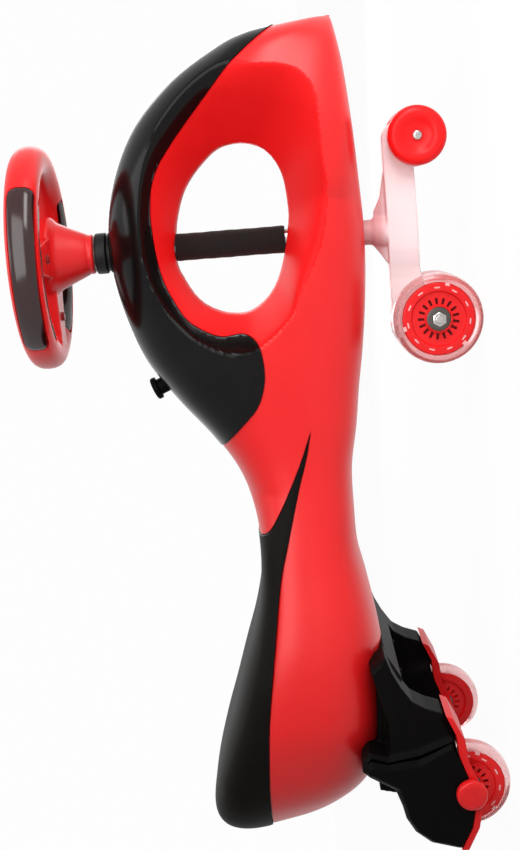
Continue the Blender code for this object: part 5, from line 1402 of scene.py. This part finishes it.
def make_knob():
    """A turn knob with a fluted head and a pointer groove."""
    place = Matrix.Translation(KNOB_PLACE) @ Matrix.Rotation(-KNOB_TILT, 4, "Y")
    rows = [(0.0, -0.0015), (KNOB_STEM, -0.0015), (KNOB_STEM, 0.0092), (KNOB_STEM + 0.0006, 0.0100),
            (KNOB_HEAD, 0.0102), (KNOB_HEAD, KNOB_TOP - 0.0013), (KNOB_HEAD - 0.0010, KNOB_TOP - 0.0003),
            (0.0060, KNOB_TOP), (0.0, KNOB_TOP)]
    knob = solid("dash_turn_knob", moved(lathe(softened(rows, 0.0008, 2), 72), place))
    flutes = ring_of(FLUTE_COUNT, 0.5, lambda: moved(rod(FLUTE_RADIUS, KNOB_HEAD, 0.02, 16),
                                                     Matrix.Translation((0.0, KNOB_HEAD + 0.0004, 0.0))))
    carve(knob, "DIFFERENCE", solid("flutes", moved(flutes, place)))
    groove = plate(rectangle(KNOB_HEAD + 0.0022, POINTER_HALF), KNOB_TOP - 0.0019, KNOB_TOP + 0.0025)
    carve(knob, "DIFFERENCE", solid("groove", moved(groove, place)))
    finished(knob, trim_black, "dash_knob", 35.0)


make_knob()


# CAD pieces that keep their own shape

dress(steel, "steering_column", "column_bolt", "hub_bolt", "rear_axle")
dress(screw_red, "wheel_screw_1", "wheel_screw_2", "wheel_screw_3")
dress(trim_black, "lower_bush", "housing_screw_1", "housing_screw_2", "housing_screw_3", "housing_screw_4")
dress(board, "sound_board")
dress(cell_skin, "cell_left", "cell_right")


# Studio

FLOOR_HALF = 9.0


def background_rays(nodes):
    """1 for the rays that show the background, 0 for those that light the car."""
    seen = nodes.node("ShaderNodeLightPath", {}, {}, "Is Camera Ray")
    path = seen.socket.node
    for other in ("Is Glossy Ray", "Is Transmission Ray"):
        seen = seen.or_else(Amount(nodes, path.outputs[other]))
    return seen


def make_world(level):
    """Lights the car faintly from all round, and shows as white to rays that see the background."""
    world = bpy.data.worlds.new("studio")
    world.use_nodes = True
    bpy.context.scene.world = world
    nodes = Nodes(world.node_tree)
    background = nodes.tree.nodes["Background"]
    nodes.feed(background.inputs["Color"], (1.0, 1.0, 1.0))
    strength = nodes.node("ShaderNodeMapRange", {}, {"Value": background_rays(nodes), "To Min": level,
                                                     "To Max": 0.985})
    nodes.feed(background.inputs["Strength"], strength)


def make_floor(glow_share):
    """A pale floor that keeps the car's shadow and glows white for rays that see the background."""
    bm = bmesh.new()
    bmesh.ops.create_grid(bm, x_segments=1, y_segments=1, size=FLOOR_HALF)
    thing = solid("studio_floor", bm)
    floor = Finish("studio_floor", Base_Color=(0.90, 0.90, 0.90), Roughness=0.9, Specular_IOR_Level=0.1)
    glow = floor.node("ShaderNodeEmission", {}, {"Strength": 1.01})
    share = background_rays(floor) * glow_share
    plain = Amount(floor, floor.shader.outputs[0])
    blend = floor.node("ShaderNodeMixShader", {}, {0: share, 1: plain, 2: glow})
    floor.feed(floor.tree.nodes["Material Output"].inputs["Surface"], blend)
    thing.data.materials.append(floor.material)


def lamp(name, place, target, length, width, power):
    """A soft box whose long side lies level."""
    light = bpy.data.lights.new(name, "AREA")
    light.shape = "RECTANGLE"
    light.size = length
    light.size_y = width
    light.energy = power
    thing = bpy.data.objects.new(name, light)
    thing.location = place
    thing.rotation_euler = (Vector(target) - Vector(place)).to_track_quat("-Z", "Y").to_euler()
    bpy.context.scene.collection.objects.link(thing)


def make_camera():
    """The photograph's view: from the car's right side, turned so that the nose points up."""
    camera = bpy.data.cameras.new("camera")
    camera.sensor_fit = "VERTICAL"
    camera.sensor_height = 36.0
    camera.lens = 60.56471
    camera.clip_start = 0.05
    thing = bpy.data.objects.new("camera", camera)
    thing.location = (0.21993757, -1.36133516, 0.18424053)
    thing.rotation_euler = (-1.980138526, 1.515715789, 2.887945219)
    bpy.context.scene.collection.objects.link(thing)
    bpy.context.scene.camera = thing


make_world(level=0.12)
make_floor(glow_share=0.95)
lamp("nose", (0.78, -0.42, 0.13), (0.34, -0.06, 0.16), length=0.56, width=0.24, power=3.0)
lamp("front", (0.38, -0.80, 0.60), (0.22, 0.0, 0.20), length=0.90, width=0.66, power=6.4)
lamp("overhead", (0.35, -0.25, 1.60), (0.1, 0.0, 0.2), length=0.90, width=0.70, power=5.0)
lamp("far_side", (0.40, 1.50, 0.60), (0.1, 0.0, 0.2), length=1.20, width=0.80, power=8.0)
make_camera()
bpy.context.scene.view_settings.view_transform = "Standard"
